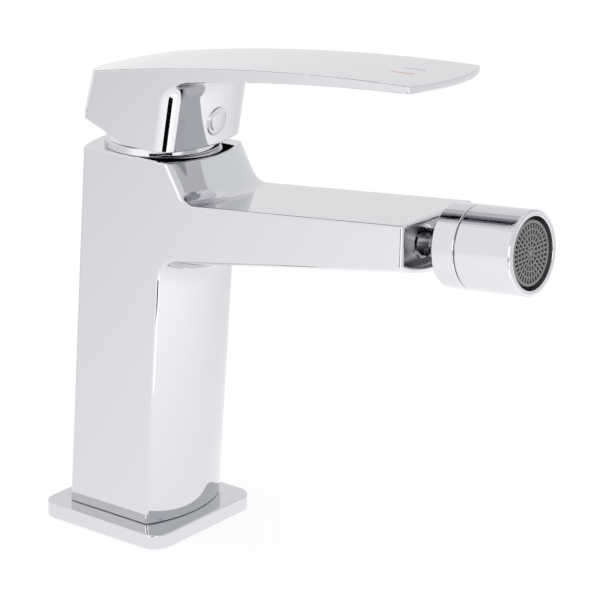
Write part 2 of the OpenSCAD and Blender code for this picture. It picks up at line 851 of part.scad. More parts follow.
module aerator_shell() color("Gray") on_outlet() difference() {
  union() {
    translate([0, 0, shell_s]) cylinder(r = thread_r - fit, h = shell_step - shell_s);
    translate([0, 0, shell_s]) cylinder(r = face_r, h = shell_front - shell_s);
  }
  translate([0, 0, shell_s - eps]) cylinder(r = shell_in, h = shell_front - face_wall - shell_s);
  for (i = [1 : 3]) face_slot(i);
}

// One ring of openings in the aerator's face, with four ribs left in it
module face_slot(i) {
  pitch = face_r * 0.83 / 4;
  difference() {
    tube((i + 0.7) * pitch, i * pitch, shell_step - wall, shell_front + wall);
    for (a = [0, 90]) rotate([0, 0, a + 15 * i])
      translate([-big / 2, -pitch / 4, 0]) cube([big, pitch / 2, big]);
  }
}

module jet_disc() color("WhiteSmoke") on_outlet() difference() {
  translate([0, 0, jet_s]) cylinder(r = shell_in - fit, h = jet_h);
  for (a = [0 : 30 : 330]) rotate([0, 0, a]) translate([shell_in * 0.62, 0, jet_s - eps])
    cylinder(r = nipple_bore / 4, h = jet_h + 2 * eps, $fn = 24);
}

module aerator_screen() color("SlateGray") on_outlet() difference() {
  translate([0, 0, screen_s]) cylinder(r = shell_in - fit, h = screen_h);
  for (a = [0 : 45 : 315]) rotate([0, 0, a]) translate([shell_in * 0.5, 0, screen_s - eps])
    cylinder(r = nipple_bore / 2, h = screen_h + 2 * eps, $fn = 24);
}

base_plate();
base_gasket();
body_casting();
hot_inlet();
cold_inlet();
stud_socket();
cartridge_base();
hot_port_seal();
cold_port_seal();
outlet_port_seal();
fixed_disc();
moving_disc();
disc_carrier();
cartridge_housing();
rotor();
pivot_pin();
stem();
cartridge_nut();
dome_cover();
lever_handle();
grub_screw();
index_plug();
hot_mark();
cold_mark();
ball_nipple();
nipple_seal();
slip_ring();
ball_seal();
seal_retainer();
swivel_collar();
aerator_housing();
aerator_gasket();
aerator_shell();
jet_disc();
aerator_screen();
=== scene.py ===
"""Single-lever bidet mixer: smooth pieces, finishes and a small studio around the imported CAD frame."""

import json
import logging
import math
from dataclasses import dataclass
from enum import Enum
from typing import Sequence

import bmesh
import bpy
from mathutils import Matrix, Vector


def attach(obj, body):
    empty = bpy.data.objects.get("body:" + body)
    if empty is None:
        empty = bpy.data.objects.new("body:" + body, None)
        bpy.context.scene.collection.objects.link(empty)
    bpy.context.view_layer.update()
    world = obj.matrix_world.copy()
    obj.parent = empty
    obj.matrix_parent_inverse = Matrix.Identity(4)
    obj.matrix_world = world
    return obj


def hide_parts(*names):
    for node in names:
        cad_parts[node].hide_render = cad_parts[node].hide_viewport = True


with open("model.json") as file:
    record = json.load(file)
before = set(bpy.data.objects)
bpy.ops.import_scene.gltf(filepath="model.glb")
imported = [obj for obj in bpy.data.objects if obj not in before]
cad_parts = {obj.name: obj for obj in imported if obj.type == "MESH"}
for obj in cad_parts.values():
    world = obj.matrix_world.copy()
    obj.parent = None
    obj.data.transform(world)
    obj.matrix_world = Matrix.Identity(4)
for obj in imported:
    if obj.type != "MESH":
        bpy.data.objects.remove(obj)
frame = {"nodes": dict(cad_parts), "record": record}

logging.basicConfig(level=logging.INFO, format="%(name)s: %(message)s")
log = logging.getLogger("mixer")

MM = 0.001
QUARTER = math.pi / 2
NEARLY_STRAIGHT = 1e-3
SEARCH_ROUNDS = 40
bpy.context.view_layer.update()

# Sizes in millimetres and degrees that several pieces share
AXIS_X = 5.7
PLATE_TOP = 4.9
BODY_TOP = 125.3
PIVOT_Z = 123.5
CHAMBER_R = 15.0
OUTLET_TILT = 5.6

Flat = tuple[float, float]
Knee = tuple[float, float, float]
Point = tuple[float, float, float]
Colour = tuple[float, float, float]
Row = list[bmesh.types.BMVert]


def sin_deg(angle: float) -> float:
    """Sine of an angle in degrees."""
    return math.sin(math.radians(angle))


def cos_deg(angle: float) -> float:
    """Cosine of an angle in degrees."""
    return math.cos(math.radians(angle))


def tan_deg(angle: float) -> float:
    """Tangent of an angle in degrees."""
    return math.tan(math.radians(angle))


def lerp(a: float, b: float, f: float) -> float:
    """Value at share f of the way from a to b."""
    return a + (b - a) * f


def spread(a: float, b: float, count: int) -> list[float]:
    """Values from a to b in a number of even steps."""
    return [lerp(a, b, k / count) for k in range(count + 1)]


def line(a: Flat, b: Flat, count: int) -> list[Flat]:
    """Points from a to b in a number of even steps."""
    return list(zip(spread(a[0], b[0], count), spread(a[1], b[1], count)))


def circle(count: int) -> list[Flat]:
    """Cosine and sine of angles spread over a full turn."""
    return [(math.cos(4 * QUARTER * k / count), math.sin(4 * QUARTER * k / count)) for k in range(count)]


def arc(radius: float, centre: float, s0: float, s1: float, count: int) -> list[Knee]:
    """Points of a sphere's outline between two places on its axis.

    Args:
        radius: Radius of the sphere.
        centre: Place of its centre on the axis.
        s0: Place of the first point on the axis.
        s1: Place of the last point on the axis.
        count: Number of steps.

    Returns:
        Corners without rounding, as distance from the axis and place on it.
    """
    first, last = (math.acos(max(-1.0, min(1.0, (s - centre) / radius))) for s in (s0, s1))
    return [(radius * math.sin(a), centre + radius * math.cos(a), 0.0) for a in spread(first, last, count)]


def corner_arc(a: Flat, p: Flat, b: Flat, radius: float, count: int) -> list[Flat]:
    """Round one corner of a flat path.

    Args:
        a: Point before the corner.
        p: The corner.
        b: Point after the corner.
        radius: Radius of the arc; zero keeps the corner.
        count: Number of steps in the arc.

    Returns:
        The points that take the corner's place.
    """
    to_a = Vector((a[0] - p[0], a[1] - p[1]))
    to_b = Vector((b[0] - p[0], b[1] - p[1]))
    if radius <= 0 or to_a.length == 0 or to_b.length == 0:
        return [p]
    to_a.normalize()
    to_b.normalize()
    half = to_a.angle(to_b) / 2
    if half > QUARTER - NEARLY_STRAIGHT:
        return [p]
    corner = Vector(p)
    centre = corner + (to_a + to_b).normalized() * (radius / math.sin(half))
    start, end = (corner + way * (radius / math.tan(half)) - centre for way in (to_a, to_b))
    first = math.atan2(start.y, start.x)
    sweep = (math.atan2(end.y, end.x) - first + math.pi) % (2 * math.pi) - math.pi
    return [(centre.x + radius * math.cos(turn), centre.y + radius * math.sin(turn))
            for turn in spread(first, first + sweep, count)]


def rounded(path: Sequence[Knee], count: int) -> list[Flat]:
    """Round the corners of a closed flat path.

    Args:
        path: Corners, each with its own radius.
        count: Steps in each arc.

    Returns:
        Points of the rounded path.
    """
    points: list[Flat] = []
    for i, (u, v, radius) in enumerate(path):
        before, after = path[i - 1], path[(i + 1) % len(path)]
        points += corner_arc(before[:2], (u, v), after[:2], radius, count)
    return points


def add_node(tree: bpy.types.NodeTree, kind: str, values: dict | None = None,
             operation: str = "") -> bpy.types.Node:
    """Add a node to a tree.

    Args:
        tree: The tree.
        kind: Type of the node.
        values: Constants for its own sockets, by name or number.
        operation: What a math node works out.

    Returns:
        The node.
    """
    node = tree.nodes.new(kind)
    if operation:
        node.operation = operation
    for socket, value in (values or {}).items():
        node.inputs[socket].default_value = value
    return node


def link(tree: bpy.types.NodeTree, *runs: tuple) -> None:
    """Join nodes of a tree.

    Args:
        tree: The tree.
        runs: For each link a node and its output, then a node and its input.
    """
    for source, out, target, into in runs:
        tree.links.new(source.outputs[out], target.inputs[into])


class Pattern(Enum):
    """Kind of surface detail: how close its noise lies along Z, and how fine it is."""

    POLISH = (1.0, 3.0)
    MOULDED = (1.0, 6.0)
    MACHINED = (9.0, 6.0)


@dataclass(frozen=True)
class Finish:
    """One finish: a Principled shader whose roughness and bump vary on Object coordinates."""

    name: str
    colour: Colour
    roughness: Flat
    grain: float
    pattern: Pattern
    metallic: float = 0.0
    bump: float = 0.0
    coat: float = 0.0
    shade: float = 0.0
    specular: float = 0.5
    bump_depth: float = 0.0001

    def material(self) -> bpy.types.Material:
        """Make the material once, and give it back on later calls.

        Returns:
            The material.
        """
        known = bpy.data.materials.get(self.name)
        if known:
            return known
        mat = bpy.data.materials.new(self.name)
        mat.use_nodes = True
        tree = mat.node_tree
        shader = tree.nodes["Principled BSDF"]
        shader.inputs["Base Color"].default_value = (*self.colour, 1.0)
        shader.inputs["Metallic"].default_value = self.metallic
        shader.inputs["Coat Weight"].default_value = self.coat
        shader.inputs["Specular IOR Level"].default_value = self.specular
        close, detail = self.pattern.value
        low, high = self.roughness
        place = add_node(tree, "ShaderNodeTexCoord")
        stretch = add_node(tree, "ShaderNodeMapping", {"Scale": (1.0, 1.0, close)})
        noise = add_node(tree, "ShaderNodeTexNoise", {"Scale": self.grain, "Detail": detail})
        rough = add_node(tree, "ShaderNodeMapRange", {"To Min": low, "To Max": high})
        link(tree, (place, "Object", stretch, "Vector"), (stretch, "Vector", noise, "Vector"),
             (noise, "Fac", rough, "Value"), (rough, "Result", shader, "Roughness"))
        if self.bump > 0:
            bump = add_node(tree, "ShaderNodeBump", {"Strength": self.bump, "Distance": self.bump_depth})
            link(tree, (noise, "Fac", bump, "Height"), (bump, "Normal", shader, "Normal"))
        if self.shade > 0:
            ramp = add_node(tree, "ShaderNodeValToRGB")
            dark, light = ramp.color_ramp.elements
            dark.color = (*(c * (1 - self.shade) for c in self.colour), 1.0)
            light.color = (*self.colour, 1.0)
            link(tree, (noise, "Fac", ramp, "Fac"), (ramp, "Color", shader, "Base Color"))
        return mat


CHROME = Finish("polished_chrome", (0.62, 0.622, 0.648), (0.03, 0.045), 60.0, Pattern.POLISH, metallic=1.0)
# Rougher chrome whose darkened colour is painted shade for the hollow in the spout's end.
DULL_SHADED_CHROME = Finish("dull_shaded_chrome", (0.3, 0.303, 0.318), (0.2, 0.3), 300.0, Pattern.POLISH, metallic=1.0)
PLUG_CHROME = Finish("plug_chrome", (0.58, 0.58, 0.6), (0.09, 0.14), 400.0, Pattern.POLISH, metallic=1.0)
BRASS = Finish("turned_brass", (0.72, 0.55, 0.27), (0.25, 0.4), 900.0, Pattern.MACHINED,
               metallic=1.0, bump=0.05, shade=0.15)
STEEL = Finish("plain_steel", (0.5, 0.51, 0.53), (0.28, 0.42), 900.0, Pattern.MACHINED,
               metallic=1.0, bump=0.05, shade=0.15)
RUBBER = Finish("seal_rubber", (0.03, 0.03, 0.03), (0.6, 0.8), 1200.0, Pattern.MOULDED, bump=0.1, shade=0.3)
# Black with no shine: painted shade, put on the ledge in front of the round band.
PAINTED_SHADE = Finish("painted_black_shade", (0.004, 0.004, 0.004), (0.7, 0.9), 900.0, Pattern.MOULDED,
                  shade=0.3, specular=0.0)
WHITE_PLASTIC = Finish("white_acetal", (0.82, 0.82, 0.8), (0.35, 0.5), 700.0, Pattern.MOULDED,
                       bump=0.05, shade=0.06)
GREY_PLASTIC = Finish("grey_insert", (0.235, 0.23, 0.225), (0.3, 0.42), 700.0, Pattern.MOULDED,
                      bump=0.05, shade=0.15)
CERAMIC = Finish("lapped_ceramic", (0.9, 0.89, 0.87), (0.08, 0.14), 500.0, Pattern.MOULDED,
                 coat=0.2, shade=0.04)
RED = Finish("hot_enamel", (0.62, 0.2, 0.17), (0.25, 0.35), 500.0, Pattern.MOULDED,
             bump=0.02, coat=0.3, shade=0.1)
BLUE = Finish("cold_enamel", (0.33, 0.36, 0.46), (0.25, 0.35), 500.0, Pattern.MOULDED,
              bump=0.02, coat=0.3, shade=0.1)

SLOT_FINISH: dict[str, Finish] = {
    "chrome": CHROME, "chrome_plastic": PLUG_CHROME, "brass": BRASS, "steel": STEEL, "seal_rubber": RUBBER,
    "white_plastic": WHITE_PLASTIC, "grey_plastic": GREY_PLASTIC, "ceramic_white": CERAMIC,
    "red_enamel": RED, "blue_enamel": BLUE,
}


class Solid:
    """Mesh in the making, in millimetres, with weights for the edges that get rounded."""

    def __init__(self) -> None:
        """Start with nothing."""
        self.bm = bmesh.new()
        self.weight = self.bm.edges.layers.float.new("bevel_weight_edge")

    def row(self, points: Sequence[Point]) -> Row:
        """Add points and give back their vertices."""
        return [self.bm.verts.new(p) for p in points]

    def face(self, verts: Row, material: int = 0) -> None:
        """Add one flat face."""
        self.bm.faces.new(verts).material_index = material

    def skin(self, rows: Sequence[Row], ring: bool = False, loop: bool = False, material: int = 0) -> None:
        """Cover the space between rows of vertices with four-sided faces.

        Args:
            rows: Rows with as many vertices each.
            ring: Whether each row closes on itself.
            loop: Whether the last row joins the first.
            material: Number of the faces' material.
        """
        pairs = list(zip(rows, rows[1:]))
        if loop:
            pairs.append((rows[-1], rows[0]))
        for a, b in pairs:
            for j in range(0 if ring else 1, len(a)):
                self.face([a[j - 1], a[j], b[j], b[j - 1]], material)

    def tube(self, rows: Sequence[Row], both: bool = False) -> None:
        """Cover closed rows and shut the last of them.

        Args:
            rows: Rows with as many vertices each.
            both: Whether the first row is shut too.
        """
        self.skin(rows, ring=True)
        self.face(rows[-1])
        if both:
            self.face(rows[0])

    def split_face(self, near: Row, far: Row, ring: Row, material: int = 0) -> None:
        """Fill a flat face with a hole in two halves that meet on the mirror plane.

        Args:
            near: One outer edge, from -Y to +Y.
            far: The opposite outer edge, from -Y to +Y.
            ring: Edge of the hole, from the far side round by -Y.
            material: Number of the face's material.
        """
        mid, far_mid, half = len(near) // 2, len(far) // 2, len(ring) // 2
        self.face([*reversed(near[:mid + 1]), *far[:far_mid + 1], *ring[:half + 1]], material)
        self.face([*far[far_mid:], *reversed(near[mid:]), *ring[half:], ring[0]], material)

    def mark(self, verts: Row, weight: float, closed: bool = False) -> None:
        """Give the edges along a path their share of the rounding.

        Args:
            verts: Path of vertices.
            weight: Share of the piece's rounding width.
            closed: Whether the path closes on itself.
        """
        for k in range(0 if closed else 1, len(verts)):
            self.bm.edges.get((verts[k - 1], verts[k]))[self.weight] = weight

    def piece(self, name: str, *materials: bpy.types.Material, width: float = 0.0,
              steps: int = 4) -> bpy.types.Object:
        """Turn the mesh into a finished object at the origin.

        Args:
            name: Name of the piece.
            materials: Its materials, in the order of their numbers.
            width: Rounding width in millimetres for a weight of one.
            steps: Segments across a rounded edge.

        Returns:
            The object, with plain geometry and no modifier left.
        """
        bmesh.ops.recalc_face_normals(self.bm, faces=self.bm.faces[:])
        for face in self.bm.faces:
            face.smooth = True
        self.bm.transform(Matrix.Scale(MM, 4))
        mesh = bpy.data.meshes.new(name)
        self.bm.to_mesh(mesh)
        self.bm.free()
        for material in materials:
            mesh.materials.append(material)
        obj = bpy.data.objects.new(name, mesh)
        bpy.context.scene.collection.objects.link(obj)
        if width > 0:
            bevel = obj.modifiers.new("rounding", "BEVEL")
            bevel.limit_method = "WEIGHT"
            bevel.width = width * MM
            bevel.segments = steps
            bevel.use_clamp_overlap = False
        normals = obj.modifiers.new("normals", "WEIGHTED_NORMAL")
        normals.weight = 80
        settle(obj)
        return obj


def settle(obj: bpy.types.Object) -> None:
    """Turn an object's modifiers into plain geometry.

    Args:
        obj: The object.
    """
    bpy.context.view_layer.update()
    depsgraph = bpy.context.evaluated_depsgraph_get()
    mesh = bpy.data.meshes.new_from_object(obj.evaluated_get(depsgraph), depsgraph=depsgraph)
    obj.modifiers.clear()
    old = obj.data
    obj.data = mesh
    mesh.name = obj.name
    bpy.data.meshes.remove(old)


def seat(obj: bpy.types.Object, body: str, slot: str, *nodes: str) -> None:
    """Tie a piece to its body, and hide the CAD nodes that it stands for.

    Args:
        obj: The piece.
        body: CAD body that it moves with.
        slot: Material slot of the record; not used.
        nodes: CAD nodes that it replaces.
    """
    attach(obj, body)
    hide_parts(*nodes)
    log.info("%s rides on %s, %d faces", obj.name, body, len(obj.data.polygons))


@dataclass(frozen=True)
class Spindle:
    """Axis that turned pieces lie on."""

    origin: Point
    axis: Point

    def at(self, s: float) -> Vector:
        """Point at a place on the axis."""
        return Vector(self.origin) + Vector(self.axis).normalized() * s

    def turn(self, solid: Solid, profile: Sequence[Flat], segments: int) -> None:
        """Turn a closed profile round the axis.

        Args:
            solid: Mesh that gets the faces.
            profile: Closed outline as distance from the axis and place on it.
            segments: Number of facets round the axis.
        """
        side = Vector((0.0, 1.0, 0.0))
        up = Vector(self.axis).normalized().cross(side)
        round_axis = circle(segments)
        rows = [solid.row([self.at(s) + side * (r * u) + up * (r * v) for u, v in round_axis])
                for r, s in profile]
        solid.skin(rows, ring=True, loop=True)


@dataclass
class FootPlate:
    """Square foot plate with round corners."""

    side: float = 50.0
    corner: float = 6.0
    hole: float = 15.5
    edge: float = 0.55
    low_edge: float = 0.22
    groove: tuple[float, float, float] = (23.0, 20.6, 1.5)
    corner_steps: int = 12
    edge_steps: int = 5

    def outline(self, inset: float) -> list[Flat]:
        """Outline of the plate, moved inwards.

        Args:
            inset: Distance inwards.

        Returns:
            Points round the outline.
        """
        middle, radius = self.side / 2 - self.corner, self.corner - inset
        points: list[Flat] = []
        for k, (sx, sy) in enumerate(((1, 1), (-1, 1), (-1, -1), (1, -1))):
            for a in spread(k * QUARTER, (k + 1) * QUARTER, self.corner_steps):
                points.append((sx * middle + radius * math.cos(a), sy * middle + radius * math.sin(a)))
        return points

    def build(self) -> None:
        """Make the plate with its gasket groove and hole."""
        solid = Solid()
        bend = spread(0.0, QUARTER, self.edge_steps)
        levels = [(a, self.low_edge * (1 - math.cos(a))) for a in bend]
        levels += [(a, PLATE_TOP - self.edge * (1 - math.cos(a))) for a in reversed(bend)]
        rows = [solid.row([(x, y, z) for x, y in self.outline(self.edge * (1 - math.sin(a)))])
                for a, z in levels]
        angles = [math.atan2(y, x) for x, y in self.outline(0.0)]
        wide, narrow, deep = self.groove
        for r, z in ((self.hole, PLATE_TOP), (self.hole, 0.0), (narrow, 0.0), (narrow, deep),
                     (wide, deep), (wide, 0.0)):
            rows.append(solid.row([(r * math.cos(a), r * math.sin(a), z) for a in angles]))
        solid.skin(rows, ring=True, loop=True)
        seat(solid.piece("foot_plate", CHROME.material()), "body", "chrome", "base_plate")


@dataclass
class Casting:
    """Column and spout in one casting, with bowed front, back and underside between two flat sides."""

    foot_x: float = -1.0313
    half_depth: float = 16.1
    half_width: float = 18.85
    lean: float = 3.2
    bow_radius: float = 40.0
    belly_radius: float = 43.0
    taper: float = 0.35
    reach: float = 109.7
    end_top: float = 122.2
    end_low: float = 109.2
    end_rim: float = 1.5
    end_sink: float = 4.6
    top_rise: float = 6.2
    low_rise: float = 9.6
    low_fillet: float = 8.5
    top_fillet: float = 6.0
    shoulder_lean: float = 31.0
    shoulder_step: float = 0.6
    chamber: tuple[float, float, float] = (121.0, 13.0, 105.5)
    outlet: tuple[float, float, float] = (5.05, 112.84, 1.4)
    cavity: tuple[float, float, float] = (28.0, 4.0, 92.0)
    ledge_r: float = 18.15
    ledge_least: float = 20.0
    ledge_rim: float = 0.7
    ledge_shine: tuple[float, float, float, float] = (0.06, 0.66, -0.5, 12.0)
    # The ledge strip out at the rim is painted black as shade, up to this place across the body; next is that
    # face's material number.
    painted_shade_to: float = 13.5
    painted_shade_face: int = 1
    # Material number of the darkened chrome: painted shade in the spout's end hollow, on rougher plating.
    dull_shaded_face: int = 2
    edge_round: float = 0.9
    stations: int = 28
    column_steps: int = 40
    spout_steps: int = 36
    rear_steps: int = 48
    shoulder_steps: int = 6
    low_fillet_steps: int = 14
    top_fillet_steps: int = 12

    def side(self, x: float) -> float:
        """Half width at a place along X."""
        return self.half_width - tan_deg(self.taper) * (x - self.foot_x + self.half_depth)

    def bow(self, t: float) -> float:
        """How far the curved front stands ahead of its corner edges."""
        y = t * self.half_width
        level = math.sqrt(self.bow_radius ** 2 - self.half_width ** 2)
        return math.sqrt(self.bow_radius ** 2 - y * y) - level

    def belly(self, y: float, inset: float = 0.0) -> float:
        """How far the spout's curved underside hangs below its corner edges.

        Args:
            y: Place across the spout.
            inset: Distance inwards from the underside.

        Returns:
            The drop, measured upright.
        """
        level = math.sqrt(self.belly_radius ** 2 - self.side(self.reach) ** 2)
        drop = math.sqrt((self.belly_radius - inset) ** 2 - y * y) - level
        return drop / cos_deg(self.low_rise)

    def column_x(self, t: float, z: float, way: int) -> float:
        """X of the curved front (way 1) or back (way -1) at a height."""
        depth = self.half_depth + self.bow(t) / cos_deg(self.lean)
        return self.foot_x + way * depth + tan_deg(self.lean) * (z - PLATE_TOP)

    def place(self, t: float, path: Sequence[Flat]) -> list[Point]:
        """Put a flat path at a share t of the half width."""
        return [(x, t * self.side(x), z) for x, z in path]

    def low_path(self, t: float) -> list[Point]:
        """Front of the column, the fillet and the spout's underside.

        Args:
            t: Share of the half width.

        Returns:
            Points from the foot to the spout's end.
        """
        k, u = tan_deg(self.lean), tan_deg(self.low_rise)
        x0 = self.column_x(t, PLATE_TOP, 1)
        foot = (x0, PLATE_TOP)
        end = (self.reach, self.end_low - self.belly(t * self.side(self.reach)))
        z = (end[1] - u * (self.reach - x0 + k * PLATE_TOP)) / (1 - u * k)
        corner = (x0 + k * (z - PLATE_TOP), z)
        bend = corner_arc(foot, corner, end, self.low_fillet, self.low_fillet_steps)
        up = line(foot, bend[0], self.column_steps)
        out = line(bend[-1], end, self.spout_steps)
        return self.place(t, up[:-1] + bend + out[1:])

    def high_path(self, t: float) -> list[Point]:
        """Top of the spout, the fillet and the shoulder.

        Args:
            t: Share of the half width.

        Returns:
            Points from the spout's end to the body's top.
        """
        k, s = tan_deg(self.top_rise), tan_deg(self.shoulder_lean)
        x0 = self.column_x(0, BODY_TOP, 1) - self.bow(0) / cos_deg(self.lean) + self.shoulder_step
        x0 += self.bow(t) / cos_deg(self.shoulder_lean)
        end, top = (self.reach, self.end_top), (x0, BODY_TOP)
        z = (self.end_top - k * (self.reach - x0 - s * BODY_TOP)) / (1 + k * s)
        corner = (x0 + s * (BODY_TOP - z), z)
        bend = corner_arc(end, corner, top, self.top_fillet, self.top_fillet_steps)
        back = line(end, bend[0], self.spout_steps)
        rise = line(bend[-1], top, self.shoulder_steps)
        return self.place(t, back[:-1] + bend + rise[1:])

    def rear_path(self, t: float) -> list[Point]:
        """Back of the column from top to foot."""
        high, low = ((self.column_x(t, z, -1), z) for z in (BODY_TOP, PLATE_TOP))
        return self.place(t, line(high, low, self.rear_steps))

    def polished(self, y: float) -> float:
        """Share of the ledge's depth, from the round band, that stays chrome; over most of the ledge the
        rest, out to the rim, is painted black as shade.
        """
        least, most, middle, half = self.ledge_shine
        return max(least, most * (1 - ((y - middle) / half) ** 2))

    def passage(self, solid: Solid, z: float) -> Row:
        """Level outline of the hose cavity.

        Args:
            solid: Mesh that gets the points.
            z: Height of the outline.

        Returns:
            Vertices from the front round by -Y.
        """
        edge, corner, _ = self.cavity
        x, half = self.foot_x + tan_deg(self.lean) * (z - PLATE_TOP), edge / 2
        knees = [(half, 0.0, 0.0), (half, -half, corner), (-half, -half, corner), (-half, 0.0, 0.0),
                 (-half, half, corner), (half, half, corner)]
        return solid.row([(x + u, v, z) for u, v in rounded(knees, 6)])

    def build(self) -> None:
        """Make the casting with its chamber, hose cavity and outlet hole."""
        solid = Solid()
        ts = spread(-1.0, 1.0, self.stations)
        low = [solid.row(self.low_path(t)) for t in ts]
        high = [solid.row(self.high_path(t)) for t in ts]
        rear = [solid.row(self.rear_path(t)) for t in ts]
        for rows in (low, high, rear):
            solid.skin(rows)
        for k in (0, -1):
            solid.face(low[k] + high[k] + rear[k])
        self.close_top(solid, high, rear)
        self.close_foot(solid, low, rear)
        self.close_end(solid, ts, low, high)
        for k in (0, -1):
            for path, weight in ((low[k], 1.0), (high[k], 0.8), (rear[k], 1.0),
                                 ([low[k][-1], high[k][0]], 1.0),
                                 ([high[k][-1], rear[k][0]], 0.7), ([rear[k][-1], low[k][0]], 0.4)):
                solid.mark(path, weight)
        for rows, at, weight in ((low, -1, 1.0), (high, 0, 1.0), (high, -1, 0.4),
                                 (rear, 0, 0.7), (rear, -1, 0.4), (low, 0, 0.4)):
            solid.mark([r[at] for r in rows], weight)
        # Chrome, black painted shade for the ledge, and darkened chrome as painted shade for the spout's end
        # hollow.
        finishes = [finish.material() for finish in (CHROME, PAINTED_SHADE, DULL_SHADED_CHROME)]
        casting = solid.piece("column_and_spout", *finishes, width=self.edge_round)
        seat(casting, "body", "chrome", "body_casting")

    def close_top(self, solid: Solid, high: list[Row], rear: list[Row]) -> None:
        """Flat top round the cartridge chamber, with the ledge ahead of the round band, part of it painted
        black as shade.

        Args:
            solid: Mesh that gets the faces.
            high: Rows that end at the top's front edge.
            rear: Rows that start at the top's rear edge.
        """
        step, narrow, floor = self.chamber
        levels = ((CHAMBER_R, BODY_TOP), (CHAMBER_R, step), (narrow, step), (narrow, floor))
        rings = [solid.row([(AXIS_X + r * u, -r * v, z) for u, v in circle(64)]) for r, z in levels]
        edge = [r[-1] for r in high]
        shrink = 1 - self.ledge_rim / self.half_width
        rim = solid.row([(v.co.x - self.ledge_rim, v.co.y * shrink, BODY_TOP) for v in edge])
        ys = [v.co.y for v in rim]
        ahead = [math.sqrt(max(self.ledge_r ** 2 - y * y, self.ledge_least)) for y in ys]
        gap = solid.row([(AXIS_X + x, y, BODY_TOP) for x, y in zip(ahead, ys)])
        inner = solid.row([g.co.lerp(r.co, self.polished(y)) for g, r, y in zip(gap, rim, ys)])
        front = [edge[0], rim[0], inner[0], *gap, inner[-1], rim[-1], edge[-1]]
        solid.split_face([r[0] for r in rear], front, rings[0])
        # The ledge strip from the rim inwards is painted black as shade over most of its length; the share
        # next to the round band stays chrome.
        last = max(k for k, y in enumerate(ys) if y <= self.painted_shade_to)
        solid.skin([edge, rim])
        solid.skin([rim[:last + 1], inner[:last + 1]], material=self.painted_shade_face)
        solid.skin([rim[last:], inner[last:]])
        solid.skin([inner, gap])
        solid.tube(rings)

    def close_foot(self, solid: Solid, low: list[Row], rear: list[Row]) -> None:
        """Flat foot round the hose cavity.

        Args:
            solid: Mesh that gets the faces.
            low: Rows that start at the foot's front edge.
            rear: Rows that end at the foot's rear edge.
        """
        rings = [self.passage(solid, z) for z in (PLATE_TOP, self.cavity[2])]
        solid.split_face([r[-1] for r in rear], [r[0] for r in low], rings[0])
        solid.tube(rings)

    def close_end(self, solid: Solid, ts: Sequence[float], low: list[Row], high: list[Row]) -> None:
        """Rim and hollow of the spout's end, with the outlet hole; the hollow gets rougher chrome, darkened
        as painted shade.

        Args:
            solid: Mesh that gets the faces.
            ts: Shares of the half width of the rows.
            low: Rows that end at the spout's lower edge.
            high: Rows that start at the spout's upper edge.
        """
        edges = [([p[-1] for p in low], [p[0] for p in high])]
        for depth in (0.0, self.end_sink):
            x = self.reach - depth
            low_z = self.end_low - tan_deg(self.low_rise) * depth
            top_z = self.end_top - tan_deg(self.top_rise) * depth - self.end_rim
            ys = [t * (self.side(x) - self.end_rim) for t in ts]
            lower = solid.row([(x, y, low_z - self.belly(y, self.end_rim)) for y in ys])
            edges.append((lower, solid.row([(x, y, top_z) for y in ys])))
        loops = [[*lower, *reversed(upper)] for lower, upper in edges]
        solid.skin(loops[:2], ring=True)
        # The hollow's wall and floor get the darkened chrome: painted shade.
        solid.skin(loops[1:], ring=True, material=self.dull_shaded_face)
        solid.mark(loops[1], 0.4, True)
        r, z, deep = self.outlet
        floor = self.reach - self.end_sink
        rings = [solid.row([(x, -r * v, z + r * u) for u, v in circle(48)]) for x in (floor, floor - deep)]
        solid.split_face(*edges[-1], rings[0], self.dull_shaded_face)
        solid.tube(rings)


